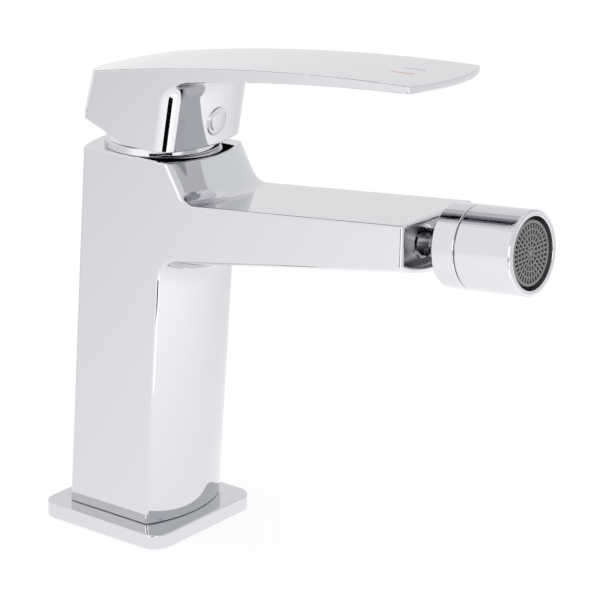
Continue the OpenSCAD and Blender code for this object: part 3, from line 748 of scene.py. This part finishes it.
@dataclass
class Handle:
    """Lever and block over the dome, its index plug and colour marks."""

    rim_z: float = 128.3
    front: tuple[float, float, float, float] = (22.85, 134.6, 9.0, 43.0)
    rear: tuple[float, float, float, float] = (-9.1, 134.9, 15.0, 24.0)
    half_width: float = 19.1
    taper: float = 0.45
    tip_x: float = 114.7
    tip_plan: float = 39.0
    top: Flat = (162.9, 1.2)
    under: Flat = (160.8, 2.7)
    bend: float = 700.0
    fillet: float = 9.0
    fillet_run: float = 12.0
    corner: float = 7.0
    cavity: float = 18.4
    cavity_top: float = 86.0
    relief: Flat = (128.874, 20.0)
    edge_round: float = 1.0
    plug_z: float = 136.0
    plug_profile: tuple[Flat, ...] = ((0.8, 0.3), (2.4, 0.28), (3.1, 0.15), (3.5, 0.05), (3.8, 0.12),
                                      (4.2, 0.4), (4.35, 0.4), (4.5, 0.25), (4.6, -0.1), (4.6, -2.8))
    mark_size: tuple[float, float, float, float] = (8.0, 0.9, 0.03, 0.3)
    mark_end: float = 0.55
    mark_x: float = 97.5
    mark_y: float = 3.1
    stations: int = 26
    corner_steps: int = 7
    rise_steps: int = 18
    fillet_steps: int = 24
    under_steps: int = 48
    blend_steps: int = 12
    rear_steps: int = 12
    foot_steps: int = 8
    top_steps: int = 56
    cavity_steps: int = 8
    mark_steps: int = 16

    def side(self, x: float) -> float:
        """Half width at a place along X."""
        return self.half_width - tan_deg(self.taper) * (x - self.rear[0])

    def bow(self, y: float, radius: float, lean: float) -> float:
        """Level distance of a curved face ahead of its corner edges."""
        crown = math.sqrt(radius ** 2 - y * y) - math.sqrt(radius ** 2 - self.half_width ** 2)
        return crown / cos_deg(lean)

    def front_x(self, y: float, z: float) -> float:
        """X of the block's front."""
        x, z0, lean, radius = self.front
        return x + tan_deg(lean) * (z - z0) + self.bow(y, radius, lean)

    def rear_x(self, y: float, z: float) -> float:
        """X of the handle's rear."""
        x, z0, lean, radius = self.rear
        return x + tan_deg(lean) * (z - z0) - self.bow(y, radius, lean)

    def sheet_z(self, x: float, sheet: Flat) -> float:
        """Height of the lever's top or underside.

        Args:
            x: Place along X.
            sheet: Height of the sheet at the tip, and its slope there.

        Returns:
            The height.
        """
        z, slope = sheet
        middle = self.tip_x + self.bend * sin_deg(slope)
        return z - self.bend * cos_deg(slope) + math.sqrt(self.bend ** 2 - (x - middle) ** 2)

    def low_z(self, x: float) -> float:
        """Height of the block's underside: level in front, rising to the rear for the swing."""
        z, angle = self.relief
        return max(self.rim_z, z - tan_deg(angle) * (x - AXIS_X))

    def columns(self) -> list[Flat]:
        """Places across the handle, with how far the block's round corners draw its front back there.

        Returns:
            Shares of the half width from -1 to 1, each with a distance.
        """
        x, z, _, radius = self.front
        half = self.side(x)
        edge = math.asin(half / radius)
        centre = self.front_x(half, z) - self.corner * math.tan((QUARTER - edge) / 2)
        bends = []
        for a in spread(edge, QUARTER, self.corner_steps)[1:]:
            y = half - self.corner * (1 - math.sin(a))
            bends.append((y / half, self.front_x(y, z) - centre - self.corner * math.cos(a)))
        inner = 1 - self.corner * (1 - math.sin(edge)) / half
        middle = [(t, 0.0) for t in spread(-inner, inner, self.stations)]
        return [*((-t, d) for t, d in reversed(bends)), *middle, *bends]

    def tip_at(self, t: float) -> float:
        """X of the lever's curved tip at a share of the half width.

        Args:
            t: Share of the half width.

        Returns:
            The place along X.
        """
        x = self.tip_x
        for _ in range(SEARCH_ROUNDS):
            x = self.tip_x - self.tip_plan + math.sqrt(self.tip_plan ** 2 - (t * self.side(x)) ** 2)
        return x

    def front_path(self, t: float, inset: float) -> list[Flat]:
        """Block front, fillet and underside of the lever, from low to the tip.

        Args:
            t: Share of the half width.
            inset: How far the block's round corner draws its front back.

        Returns:
            Points in X and Z.
        """
        y = t * self.side(self.front[0])
        corner_z = self.sheet_z(self.front[0], self.under)
        for _ in range(SEARCH_ROUNDS):
            corner_z = self.sheet_z(self.front_x(y, corner_z), self.under)
        corner = (self.front_x(y, corner_z), corner_z)
        run = corner[0] + self.fillet_run
        start = (self.front_x(y, self.rim_z), self.rim_z)
        bend = corner_arc(start, corner, (run, self.sheet_z(run, self.under)), self.fillet, self.fillet_steps)
        rise = line(start, bend[0], self.rise_steps)
        out = [(x, self.sheet_z(x, self.under))
               for x in spread(bend[-1][0], self.tip_at(t), self.under_steps)]
        shift = bend[-1][1] - out[0][1]
        blend = [(x, z + shift * max(0.0, 1 - k / self.blend_steps)) for k, (x, z) in enumerate(out)]
        fade = [math.cos(a) ** 2 for a in spread(0.0, QUARTER, self.fillet_steps)]
        return ([(x - inset, z) for x, z in rise[:-1]]
                + [(x - inset * f, z) for (x, z), f in zip(bend, fade)] + blend[1:])

    def rear_path(self, t: float) -> list[Flat]:
        """Rear of the handle from its underside to the top edge.

        Args:
            t: Share of the half width.

        Returns:
            Points in X and Z.
        """
        y = t * self.side(self.rear[0])
        low, high = self.rim_z, self.top[0]
        for _ in range(SEARCH_ROUNDS):
            low = self.low_z(self.rear_x(y, low))
            high = self.sheet_z(self.rear_x(y, high), self.top)
        return line((self.rear_x(y, low), low), (self.rear_x(y, high), high), self.rear_steps)

    def place(self, t: float, path: Sequence[Flat]) -> list[Point]:
        """Put a flat path at a share t of the half width."""
        return [(x, t * self.side(x), z) for x, z in path]

    def foot_edge(self, x0: float, x1: float, way: int) -> list[Point]:
        """Points along the foot of one flat side, between the block's front and rear.

        Args:
            x0: X of the front corner.
            x1: X of the rear corner.
            way: Side, -1 or 1.

        Returns:
            Points with one at the bend where the underside starts to rise.
        """
        z, angle = self.relief
        knee = AXIS_X + (z - self.rim_z) / tan_deg(angle)
        xs = spread(x0, knee, self.foot_steps)[1:] + spread(knee, x1, self.foot_steps)[1:-1]
        return [(x, way * self.side(x), self.low_z(x)) for x in xs]

    def build(self) -> None:
        """Make the handle, its plug and its marks."""
        self.build_shell()
        self.build_plug()
        self.build_mark("hot_line", -self.mark_y, RED, "red_enamel", "hot_mark")
        self.build_mark("cold_line", self.mark_y, BLUE, "blue_enamel", "cold_mark")

    def build_shell(self) -> None:
        """Make the lever and block in one shell."""
        solid = Solid()
        front, back, top = [], [], []
        for t, inset in self.columns():
            front.append(solid.row(self.place(t, self.front_path(t, inset))))
            back.append(solid.row(self.place(t, self.rear_path(t))))
            rear, tip = back[-1][-1], front[-1][-1]
            xs = spread(rear.co.x, tip.co.x, self.top_steps)[1:]
            top.append([rear, *solid.row(self.place(t, [(x, self.sheet_z(x, self.top)) for x in xs]))])
        for rows in (front, back, top, [[f[-1] for f in front], [p[-1] for p in top]]):
            solid.skin(rows)
        feet = []
        for k, way in ((0, -1), (-1, 1)):
            feet.append(solid.row(self.foot_edge(front[k][0].co.x, back[k][0].co.x, way)))
            solid.face([*front[k], *reversed(top[k]), *reversed(back[k][:-1]), *reversed(feet[-1])])
        sole = [*(f[0] for f in front), *feet[1], *(b[0] for b in reversed(back)), *reversed(feet[0])]
        self.close_below(solid, sole)
        solid.mark(sole, 0.35, True)
        after_fillet = self.rise_steps + self.fillet_steps + 2
        for k in (0, -1):
            for path, weight in ((front[k][after_fillet:], 0.35), (back[k], 0.7), (top[k], 0.45),
                                 ([front[k][-1], top[k][-1]], 0.5)):
                solid.mark(path, weight)
        for rows, at, weight in ((front, -1, 0.5), (top, -1, 0.45), (top, 0, 0.45)):
            solid.mark([r[at] for r in rows], weight)
        shell = solid.piece("lever_shell", CHROME.material(), width=self.edge_round)
        seat(shell, "lever", "chrome", "lever_handle")

    def hollow_r(self, angle: float) -> float:
        """Level distance from the axis to the edge of the hollow over the dome.

        Args:
            angle: Direction from the axis.

        Returns:
            The distance.
        """
        level = math.sqrt(self.cavity ** 2 - (self.rim_z - PIVOT_Z) ** 2)
        z, tilt = self.relief
        c = math.cos(angle) * tan_deg(tilt)
        if level * c >= z - self.rim_z:
            return level
        rise = z - PIVOT_Z
        root = math.sqrt((rise * c) ** 2 + (1 + c * c) * (self.cavity ** 2 - rise ** 2))
        return (rise * c + root) / (1 + c * c)

    def close_below(self, solid: Solid, sole: Row) -> None:
        """Underside and the hollow over the dome.

        Args:
            solid: Mesh that gets the faces.
            sole: Vertices of the block's lower edge, all round.
        """
        angles = [math.atan2(v.co.y, v.co.x - AXIS_X) for v in sole]
        heights = [self.low_z(AXIS_X + self.hollow_r(a) * math.cos(a)) for a in angles]
        starts = [math.asin((z - PIVOT_Z) / self.cavity) for z in heights]
        rows = []
        for f in spread(0.0, 1.0, self.cavity_steps):
            points = []
            for a, start in zip(angles, starts):
                e = lerp(start, math.radians(self.cavity_top), f)
                r = self.cavity * math.cos(e)
                z = PIVOT_Z + self.cavity * math.sin(e)
                points.append((AXIS_X + r * math.cos(a), r * math.sin(a), z))
            rows.append(solid.row(points))
        solid.tube([sole, *rows])
        solid.mark(rows[0], 0.2, True)

    def build_plug(self) -> None:
        """Make the round plug on the block's curved front."""
        solid = Solid()
        rows = []
        for r, proud in self.plug_profile:
            places = [(r * u, self.plug_z + r * v) for u, v in circle(72)]
            rows.append(solid.row([(self.front_x(y, z) + proud, y, z) for y, z in places]))
        solid.tube(rows, both=True)
        seat(solid.piece("index_button", PLUG_CHROME.material()), "lever", "chrome_plastic", "index_plug")

    def build_mark(self, name: str, y: float, finish: Finish, slot: str, node: str) -> None:
        """Make one short colour line let into the lever's top.

        Args:
            name: Name of the piece.
            y: Place across the lever.
            finish: Its colour.
            slot: Material slot of the record.
            node: CAD node that it replaces.
        """
        length, width, proud, sink = self.mark_size
        section = ((-1.0, -sink), (-1.0, 0.4 * proud), (-0.8, proud),
                   (0.8, proud), (1.0, 0.4 * proud), (1.0, -sink))
        solid = Solid()
        rows = []
        for k, x in enumerate(spread(self.mark_x - length / 2, self.mark_x + length / 2, self.mark_steps)):
            half = width / 2 * (self.mark_end if k in (0, self.mark_steps) else 1.0)
            z = self.sheet_z(x, self.top)
            rows.append(solid.row([(x, y + half * share, z + rise) for share, rise in section]))
        solid.tube(rows, both=True)
        seat(solid.piece(name, finish.material()), "lever", slot, node)


@dataclass
class DomeCover:
    """Round band and dome under the handle."""

    spindle: Spindle = Spindle((AXIS_X, 0.0, 0.0), (0.0, 0.0, 1.0))
    band_r: float = 18.1
    band_top: float = 127.8
    band_taper: float = 0.17
    band_round: Flat = (0.25, 0.35)
    step: float = 127.2
    dome: Flat = (17.9, 16.7)
    hole: float = 14.0

    def build(self) -> None:
        """Make the cover."""
        outer, inner = self.dome
        crown, lip = (PIVOT_Z + math.sqrt(r ** 2 - self.hole ** 2) for r in self.dome)
        low, high = self.band_round
        knees = [(CHAMBER_R, BODY_TOP, 0.0), (self.band_r, BODY_TOP, low),
                 (self.band_r - self.band_taper, self.band_top, high),
                 *arc(outer, PIVOT_Z, self.band_top, crown, 16), *arc(inner, PIVOT_Z, lip, self.step, 12),
                 (CHAMBER_R, self.step, 0.0)]
        solid = Solid()
        self.spindle.turn(solid, rounded(knees, 4), 192)
        seat(solid.piece("dome", CHROME.material()), "body", "chrome", "dome_cover")


@dataclass
class Outlet:
    """Ball nipple, swivelling collar, sleeve and the windowed insert."""

    spindle: Spindle = Spindle((117.97, 0.0, 114.1), (cos_deg(OUTLET_TILT), 0.0, sin_deg(OUTLET_TILT)))
    radius: float = 12.5
    ball: float = 7.2
    ball_start: float = 0.05
    neck: float = 4.2
    nipple: tuple[float, float, float] = (5.0, -19.93, -13.43)
    bore: float = 2.6
    socket: float = 8.3
    mouth: float = 6.98
    tail: Flat = (7.7, -6.2)
    cone_end: float = -2.0
    collar_end: float = 5.4
    groove: float = 0.7
    spigot: Flat = (10.4, 9.0)
    spigot_play: float = 0.05
    sleeve: Flat = (5.8, 24.5)
    sleeve_bores: tuple[Flat, ...] = ((10.6, 21.0), (10.3, 12.0), (9.3, 10.0))
    insert: tuple[float, float, float] = (9.55, 23.7, 13.5)
    skirt: tuple[float, float, float, float] = (8.95, 10.25, 20.95, 1.6)
    window_rows: tuple[tuple[int, float], ...] = ((36, 7.75), (28, 6.05), (20, 4.35), (12, 2.65))
    row_wall: float = 0.42
    row_pitch: float = 1.7
    row_depth: float = 1.5
    boss: Flat = (0.01, 1.0)
    rib: tuple[float, float, float, float] = (0.2, 0.55, 1.2, 0.75)
    hub_ribs: tuple[int, float, float] = (6, 1.4, 1.0)

    def build(self) -> None:
        """Make the pieces of the outlet."""
        self.build_nipple()
        self.build_collar()
        self.build_sleeve()
        self.build_insert()

    def turned(self, name: str, knees: Sequence[Knee]) -> bpy.types.Object:
        """Make one turned chrome piece.

        Args:
            name: Name of the piece.
            knees: Corners of its profile.

        Returns:
            The piece.
        """
        solid = Solid()
        self.spindle.turn(solid, rounded(knees, 5), 160)
        return solid.piece(name, CHROME.material())

    def build_nipple(self) -> None:
        """Make the ball and its threaded neck."""
        meet = -math.sqrt(self.ball ** 2 - self.neck ** 2)
        front = math.sqrt(self.ball ** 2 - self.bore ** 2)
        r, rear, step = self.nipple
        knees = [(self.bore, rear, 0.0), (r, rear, 0.0), (r, step, 0.0), (self.neck, step, 0.0),
                 (self.neck, meet, 0.0), *arc(self.ball, 0.0, meet + self.ball_start, front, 28)]
        seat(self.turned("ball_and_neck", knees), "body", "chrome", "ball_nipple")

    def build_collar(self) -> None:
        """Make the rear collar with its cone and groove."""
        r, rear = self.tail
        spigot, end = self.spigot
        deep = -math.sqrt(self.socket ** 2 - self.mouth ** 2)
        groove, start = self.radius - self.groove, self.sleeve[0]
        knees = [(self.mouth, rear, 0.3), (r, rear, 0.35), (self.radius, self.cone_end, 0.5),
                 (self.radius, self.collar_end, 0.3), (groove, self.collar_end, 0.0), (groove, start, 0.0),
                 (spigot, start, 0.0), (spigot, end, 0.0), (self.socket, end, 0.0),
                 *arc(self.socket, 0.0, 0.0, deep, 12)]
        seat(self.turned("collar", knees), "aerator", "chrome", "swivel_collar")

    def build_sleeve(self) -> None:
        """Make the front sleeve with its stepped bore."""
        start, place = self.sleeve
        bore = self.spigot[0] + self.spigot_play
        lip = 0.35
        knees = [(bore, start, 0.0), (self.radius, start, 0.3), (self.radius, place, 0.8)]
        for r, end in self.sleeve_bores:
            knees += [(r, place, lip), (r, end, 0.0)]
            place, lip = end, 0.0
        knees.append((bore, place, 0.0))
        seat(self.turned("sleeve", knees), "aerator", "chrome", "aerator_housing")

    def build_insert(self) -> None:
        """Make the insert: a skirt, rings and rows of ribs between them."""
        r, front, rear = self.insert
        hollow, flange, flange_end, face_depth = self.skirt
        inner = self.window_rows[0][1] + self.row_pitch / 2
        back = front - self.row_depth
        solid = Solid()
        skirt = [(hollow, rear, 0.0), (flange, rear, 0.0), (flange, flange_end, 0.0), (r, flange_end, 0.0),
                 (r, front, 0.35), (inner, front, 0.2), (inner, front - face_depth, 0.0),
                 (hollow, front - face_depth, 0.0)]
        self.spindle.turn(solid, rounded(skirt, 4), 128)
        for _, row in self.window_rows:
            near, far = (row - self.row_pitch / 2 + way * self.row_wall / 2 for way in (-1, 1))
            ring = [(near, back, 0.0), (far, back, 0.0), (far, front, 0.1), (near, front, 0.1)]
            self.spindle.turn(solid, rounded(ring, 2), 96)
        near, far = self.boss
        boss = [(near, back, 0.0), (far, back, 0.0), (far, front, 0.25), (near, front, 0.0)]
        self.spindle.turn(solid, rounded(boss, 3), 32)
        insert = solid.piece("windowed_insert", GREY_PLASTIC.material())
        overlap, width, depth, sink = self.rib
        length = self.row_pitch - self.row_wall + overlap
        for count, row, reach in (*((n, row, length) for n, row in self.window_rows), self.hub_ribs):
            ribs = RibRow(count, row, reach, width, depth, front - sink)
            ribs.add_to(insert, self.spindle, GREY_PLASTIC)
        settle(insert)
        seat(insert, "aerator", "grey_plastic", "aerator_shell")


@dataclass(frozen=True)
class RibRow:
    """A ring of small radial ribs, made with Geometry Nodes."""

    count: int
    radius: float
    length: float
    width: float
    depth: float
    place: float

    def tree(self) -> bpy.types.NodeTree:
        """Node tree that joins a ring of ribs to the geometry it is given.

        Returns:
            The tree, made once.
        """
        known = bpy.data.node_groups.get("rib_row")
        if known:
            return known
        tree = bpy.data.node_groups.new("rib_row", "GeometryNodeTree")
        for name, kind in (("Geometry", "Geometry"), ("Count", "Int"), ("Radius", "Float"),
                           ("Rib Size", "Vector"),
                           ("Translation", "Vector"), ("Turn", "Rotation"), ("Material", "Material")):
            tree.interface.new_socket(name, in_out="INPUT", socket_type=f"NodeSocket{kind}")
        tree.interface.new_socket("Geometry", in_out="OUTPUT", socket_type="NodeSocketGeometry")
        given, result = add_node(tree, "NodeGroupInput"), add_node(tree, "NodeGroupOutput")
        ring, rib, copies, move, join, real, paint, index = (
            add_node(tree, f"GeometryNode{kind}") for kind in (
                "MeshCircle", "MeshCube", "InstanceOnPoints", "Transform", "JoinGeometry", "RealizeInstances",
                "SetMaterial", "InputIndex"))
        share = add_node(tree, "ShaderNodeMath", operation="DIVIDE")
        angle = add_node(tree, "ShaderNodeMath", {1: 2 * math.pi}, "MULTIPLY")
        euler = add_node(tree, "ShaderNodeCombineXYZ")
        link(tree, (given, "Count", ring, "Vertices"), (given, "Radius", ring, "Radius"),
             (given, "Rib Size", rib, "Size"), (index, "Index", share, 0), (given, "Count", share, 1),
             (share, 0, angle, 0), (angle, 0, euler, "Z"), (ring, "Mesh", copies, "Points"),
             (rib, "Mesh", copies, "Instance"), (euler, "Vector", copies, "Rotation"),
             (copies, "Instances", move, "Geometry"), (given, "Translation", move, "Translation"),
             (given, "Turn", move, "Rotation"), (move, "Geometry", join, "Geometry"),
             (given, "Geometry", join, "Geometry"), (join, "Geometry", real, "Geometry"),
             (real, "Geometry", paint, "Geometry"), (given, "Material", paint, "Material"),
             (paint, "Geometry", result, "Geometry"))
        return tree

    def add_to(self, obj: bpy.types.Object, spindle: Spindle, finish: Finish) -> None:
        """Add the ring of ribs to an object as a modifier.

        Args:
            obj: Object that gets the ribs.
            spindle: Axis of the ring.
            finish: Finish of the ribs.
        """
        tree = self.tree()
        modifier = obj.modifiers.new(f"ribs_{self.count}", "NODES")
        modifier.node_group = tree
        turn = Vector((0.0, 0.0, 1.0)).rotation_difference(Vector(spindle.axis)).to_euler()
        values = {"Count": self.count, "Radius": self.radius * MM,
                  "Rib Size": (self.length * MM, self.width * MM, self.depth * MM),
                  "Translation": tuple(spindle.at(self.place) * MM), "Turn": tuple(turn),
                  "Material": finish.material()}
        for socket in tree.interface.items_tree:
            if socket.in_out == "INPUT" and socket.name in values:
                modifier[socket.identifier] = values[socket.name]


@dataclass
class Studio:
    """Camera, pale floor, soft light and the screens and sheets that the chrome reflects, in metres."""

    focal_px: float = 2462.92
    image_px: float = 600.0
    centre_px: Flat = (297.48, 300.23)
    sensor_mm: float = 36.0
    turn: float = 36.72
    rise: float = 18.07
    roll: float = -1.14
    distance: float = 0.7511
    target: Point = (0.05959, 0.0, 0.08513)
    world_colour: Colour = (0.95, 0.96, 1.0)
    world_light: float = 0.75
    floor_half: float = 1.5
    floor_z: float = -0.0003
    floor_glow: float = 1.07
    floor_matte: float = 0.25
    floor_grey: float = 0.9
    screen_middle: Flat = (0.04, 0.09)
    screen_far: float = 1.4
    screen_near: float = 0.2
    screen_steps: int = 12
    sheet_half: float = 1.45
    sheet_z: float = -0.0001
    sheet_gap: float = 0.00003
    sheet_turn: float = -28.0
    ceiling_z: float = 1.7
    lamp_size: float = 0.9
    lamp_power: float = 6.0
    lamp_at: Point = (0.1, -0.2, 1.3)

    def build(self) -> None:
        """Set the stage, the world and the camera."""
        self.build_camera()
        self.build_world()
        self.build_floor()
        self.build_screens()
        self.build_sheets()
        self.build_lamp()
        bpy.context.scene.view_settings.view_transform = "Standard"

    def build_camera(self) -> None:
        """Put the camera where the photograph was taken from."""
        back = Vector((sin_deg(self.turn) * cos_deg(self.rise), -cos_deg(self.turn) * cos_deg(self.rise),
                       sin_deg(self.rise)))
        right = Vector((cos_deg(self.turn), sin_deg(self.turn), 0.0))
        up = back.cross(right)
        along = right * cos_deg(self.roll) - up * sin_deg(self.roll)
        above = up * cos_deg(self.roll) + right * sin_deg(self.roll)
        data = bpy.data.cameras.new("photo_camera")
        data.sensor_width = self.sensor_mm
        data.lens = self.focal_px / self.image_px * self.sensor_mm
        data.shift_x = 0.5 - self.centre_px[0] / self.image_px
        data.shift_y = self.centre_px[1] / self.image_px - 0.5
        data.clip_start = 0.01
        camera = bpy.data.objects.new("photo_camera", data)
        bpy.context.scene.collection.objects.link(camera)
        turn = Matrix((along, above, back)).transposed().to_4x4()
        camera.matrix_world = Matrix.Translation(Vector(self.target) + back * self.distance) @ turn
        bpy.context.scene.camera = camera

    def build_world(self) -> None:
        """White world for what the camera and the metal see, softer light for the rest."""
        world = bpy.data.worlds.new("studio")
        bpy.context.scene.world = world
        world.use_nodes = True
        tree = world.node_tree
        tree.nodes.clear()
        path = add_node(tree, "ShaderNodeLightPath")
        glossy, seen = (add_node(tree, "ShaderNodeMath", operation="MAXIMUM") for _ in range(2))
        soft = add_node(tree, "ShaderNodeBackground",
                        {"Color": (*self.world_colour, 1.0), "Strength": self.world_light})
        white = add_node(tree, "ShaderNodeBackground", {"Color": (1.0, 1.0, 1.0, 1.0)})
        mix = add_node(tree, "ShaderNodeMixShader")
        out = add_node(tree, "ShaderNodeOutputWorld")
        link(tree, (path, "Is Camera Ray", seen, 0), (path, "Is Glossy Ray", glossy, 0),
             (path, "Is Transmission Ray", glossy, 1), (glossy, 0, seen, 1), (seen, 0, mix, 0),
             (soft, 0, mix, 1), (white, 0, mix, 2), (mix, 0, out, 0))

    def patch(self, name: str, rows: Sequence[Sequence[Point]],
              material: bpy.types.Material) -> bpy.types.Object:
        """Make a piece of the stage.

        Args:
            name: Name of the piece.
            rows: Rows of points in metres.
            material: Its material.

        Returns:
            The piece.
        """
        solid = Solid()
        solid.skin([solid.row([tuple(v / MM for v in p) for p in row]) for row in rows])
        obj = solid.piece(name, material)
        return obj

    def build_floor(self) -> None:
        """Pale floor that stays white to the camera and still takes a soft shadow."""
        mat = self.even_glow("pale_floor", (1.0, 1.0, 1.0))
        tree = mat.node_tree
        glow, out = tree.nodes["Emission"], tree.nodes["Material Output"]
        glow.inputs["Strength"].default_value = self.floor_glow
        matte = add_node(tree, "ShaderNodeBsdfDiffuse", {"Color": (*[self.floor_grey] * 3, 1.0)})
        mix = add_node(tree, "ShaderNodeMixShader", {0: self.floor_matte})
        link(tree, (glow, 0, mix, 1), (matte, 0, mix, 2), (mix, 0, out, 0))
        ends = (-self.floor_half, self.floor_half)
        self.patch("floor", [[(x, y, self.floor_z) for x in ends] for y in ends], mat)

    def reflected(self, name: str, rows: Sequence[Sequence[Point]], glow: bpy.types.Material) -> None:
        """Piece of the stage that only reflections show.

        Args:
            name: Name of the piece.
            rows: Rows of points in metres.
            glow: Its material.
        """
        obj = self.patch(name, rows, glow)
        obj.visible_camera = False
        obj.visible_diffuse = False
        obj.visible_shadow = False

    def even_glow(self, name: str, colour: Colour) -> bpy.types.Material:
        """Material with an even glow.

        Args:
            name: Name of the material.
            colour: Colour and strength of the glow.

        Returns:
            The material.
        """
        mat = bpy.data.materials.new(name)
        mat.use_nodes = True
        tree = mat.node_tree
        tree.nodes.clear()
        glow = add_node(tree, "ShaderNodeEmission", {"Color": (*colour, 1.0)})
        link(tree, (glow, 0, add_node(tree, "ShaderNodeOutputMaterial"), 0))
        return mat

    def sloping_glow(self, name: str, along: Point, near: Flat, glow_range: Flat) -> bpy.types.Material:
        """Material whose glow grows along a direction.

        Args:
            name: Name of the material.
            along: Direction of growth.
            near: Places along the direction where growth starts and ends.
            glow_range: Glow at those places.

        Returns:
            The material.
        """
        mat = self.even_glow(name, (1.0, 0.995, 1.0))
        tree = mat.node_tree
        place = add_node(tree, "ShaderNodeTexCoord")
        dot = add_node(tree, "ShaderNodeVectorMath", {1: along}, "DOT_PRODUCT")
        grow = add_node(tree, "ShaderNodeMapRange", {"From Min": near[0], "From Max": near[1],
                                                     "To Min": glow_range[0], "To Max": glow_range[1]})
        link(tree, (place, "Object", dot, 0), (dot, "Value", grow, "Value"),
             (grow, "Result", tree.nodes["Emission"], "Strength"))
        return mat

    def screen(self, name: str, azimuths: Flat, rises: Flat, colour: Colour, distance: float) -> None:
        """Curved upright screen around the part.

        Args:
            name: Name of the screen.
            azimuths: First and last direction in degrees, from +X towards +Y.
            rises: Lowest and highest elevation in degrees, seen from the part.
            colour: Its even glow.
            distance: Distance from the part.
        """
        x, z = self.screen_middle
        turns = spread(*azimuths, self.screen_steps)
        rows = [[(x + distance * cos_deg(a), distance * sin_deg(a), z + distance * tan_deg(rise))
                 for a in turns]
                for rise in rises]
        self.reflected(name, rows, self.even_glow(name, colour))

    def build_screens(self) -> None:
        """Walls, a bright strip beside the camera and two black bars near the part."""
        black = (0.0, 0.0, 0.0)
        far, near = self.screen_far, self.screen_near
        self.screen("left_wall", (176.0, 255.0), (-4.0, 50.0), (1.18, 1.18, 1.18), far)
        self.screen("right_wall", (-17.0, 105.0), (1.0, 50.0), (0.93, 0.95, 0.95), far)
        self.screen("far_wall", (105.0, 176.0), (1.0, 50.0), (0.97, 0.962, 0.965), far)
        self.screen("bright_strip", (-105.0, -35.0), (4.0, 26.0), (2.2, 2.2, 2.2), far)
        self.screen("dark_edge", (-84.0, -62.0), (-26.0, 2.0), black, near)
        self.screen("dark_bar", (-84.0, -36.0), (2.0, 3.9), black, near)

    def build_sheets(self) -> None:
        """Ceiling, and a floor sheet with a duller and a brighter patch just above it."""
        ends = (-self.sheet_half, self.sheet_half)
        ceiling = [[(x, y, self.ceiling_z) for x in ends] for y in ends]
        self.reflected("ceiling", ceiling, self.even_glow("ceiling", (1.04, 1.04, 1.04)))
        sheet = [[(x, y, self.sheet_z) for x in ends] for y in ends]
        along = (cos_deg(self.sheet_turn), sin_deg(self.sheet_turn), 0.0)
        glow = self.sloping_glow("floor_sheet", along, (-0.15, 0.19), (0.99, 1.42))
        self.reflected("floor_sheet", sheet, glow)
        above, top = (self.sheet_z + k * self.sheet_gap for k in (1, 2))
        duller = [[(x, y, above) for x in (0.36, self.sheet_half)] for y in (-0.25, 0.8)]
        self.reflected("right_floor", duller, self.even_glow("right_floor", (1.05, 1.05, 1.05)))
        bright = [[(r * cos_deg(a), r * sin_deg(a), top) for a in (-64.0, -38.0)] for r in (0.14, 0.8)]
        self.reflected("front_floor", bright, self.even_glow("front_floor", (1.8, 1.8, 1.8)))

    def build_lamp(self) -> None:
        """One wide soft lamp overhead."""
        data = bpy.data.lights.new("soft_box", "AREA")
        data.shape = "SQUARE"
        data.size = self.lamp_size
        data.energy = self.lamp_power
        lamp = bpy.data.objects.new("soft_box", data)
        lamp.location = self.lamp_at
        lamp.visible_glossy = False
        bpy.context.scene.collection.objects.link(lamp)


def dress_inner_pieces() -> None:
    """Give every CAD node its slot's finish."""
    slots = {s["node"]: s["material_slot"] for s in frame["record"]["subparts"]}
    for node, obj in frame["nodes"].items():
        obj.data.materials.clear()
        obj.data.materials.append(SLOT_FINISH[slots[node]].material())


def main() -> None:
    """Build the part piece by piece, then the studio."""
    dress_inner_pieces()
    for part in (FootPlate(), Casting(), DomeCover(), Handle(), Outlet()):
        part.build()
    Studio().build()


if __name__ == "__main__":
    main()
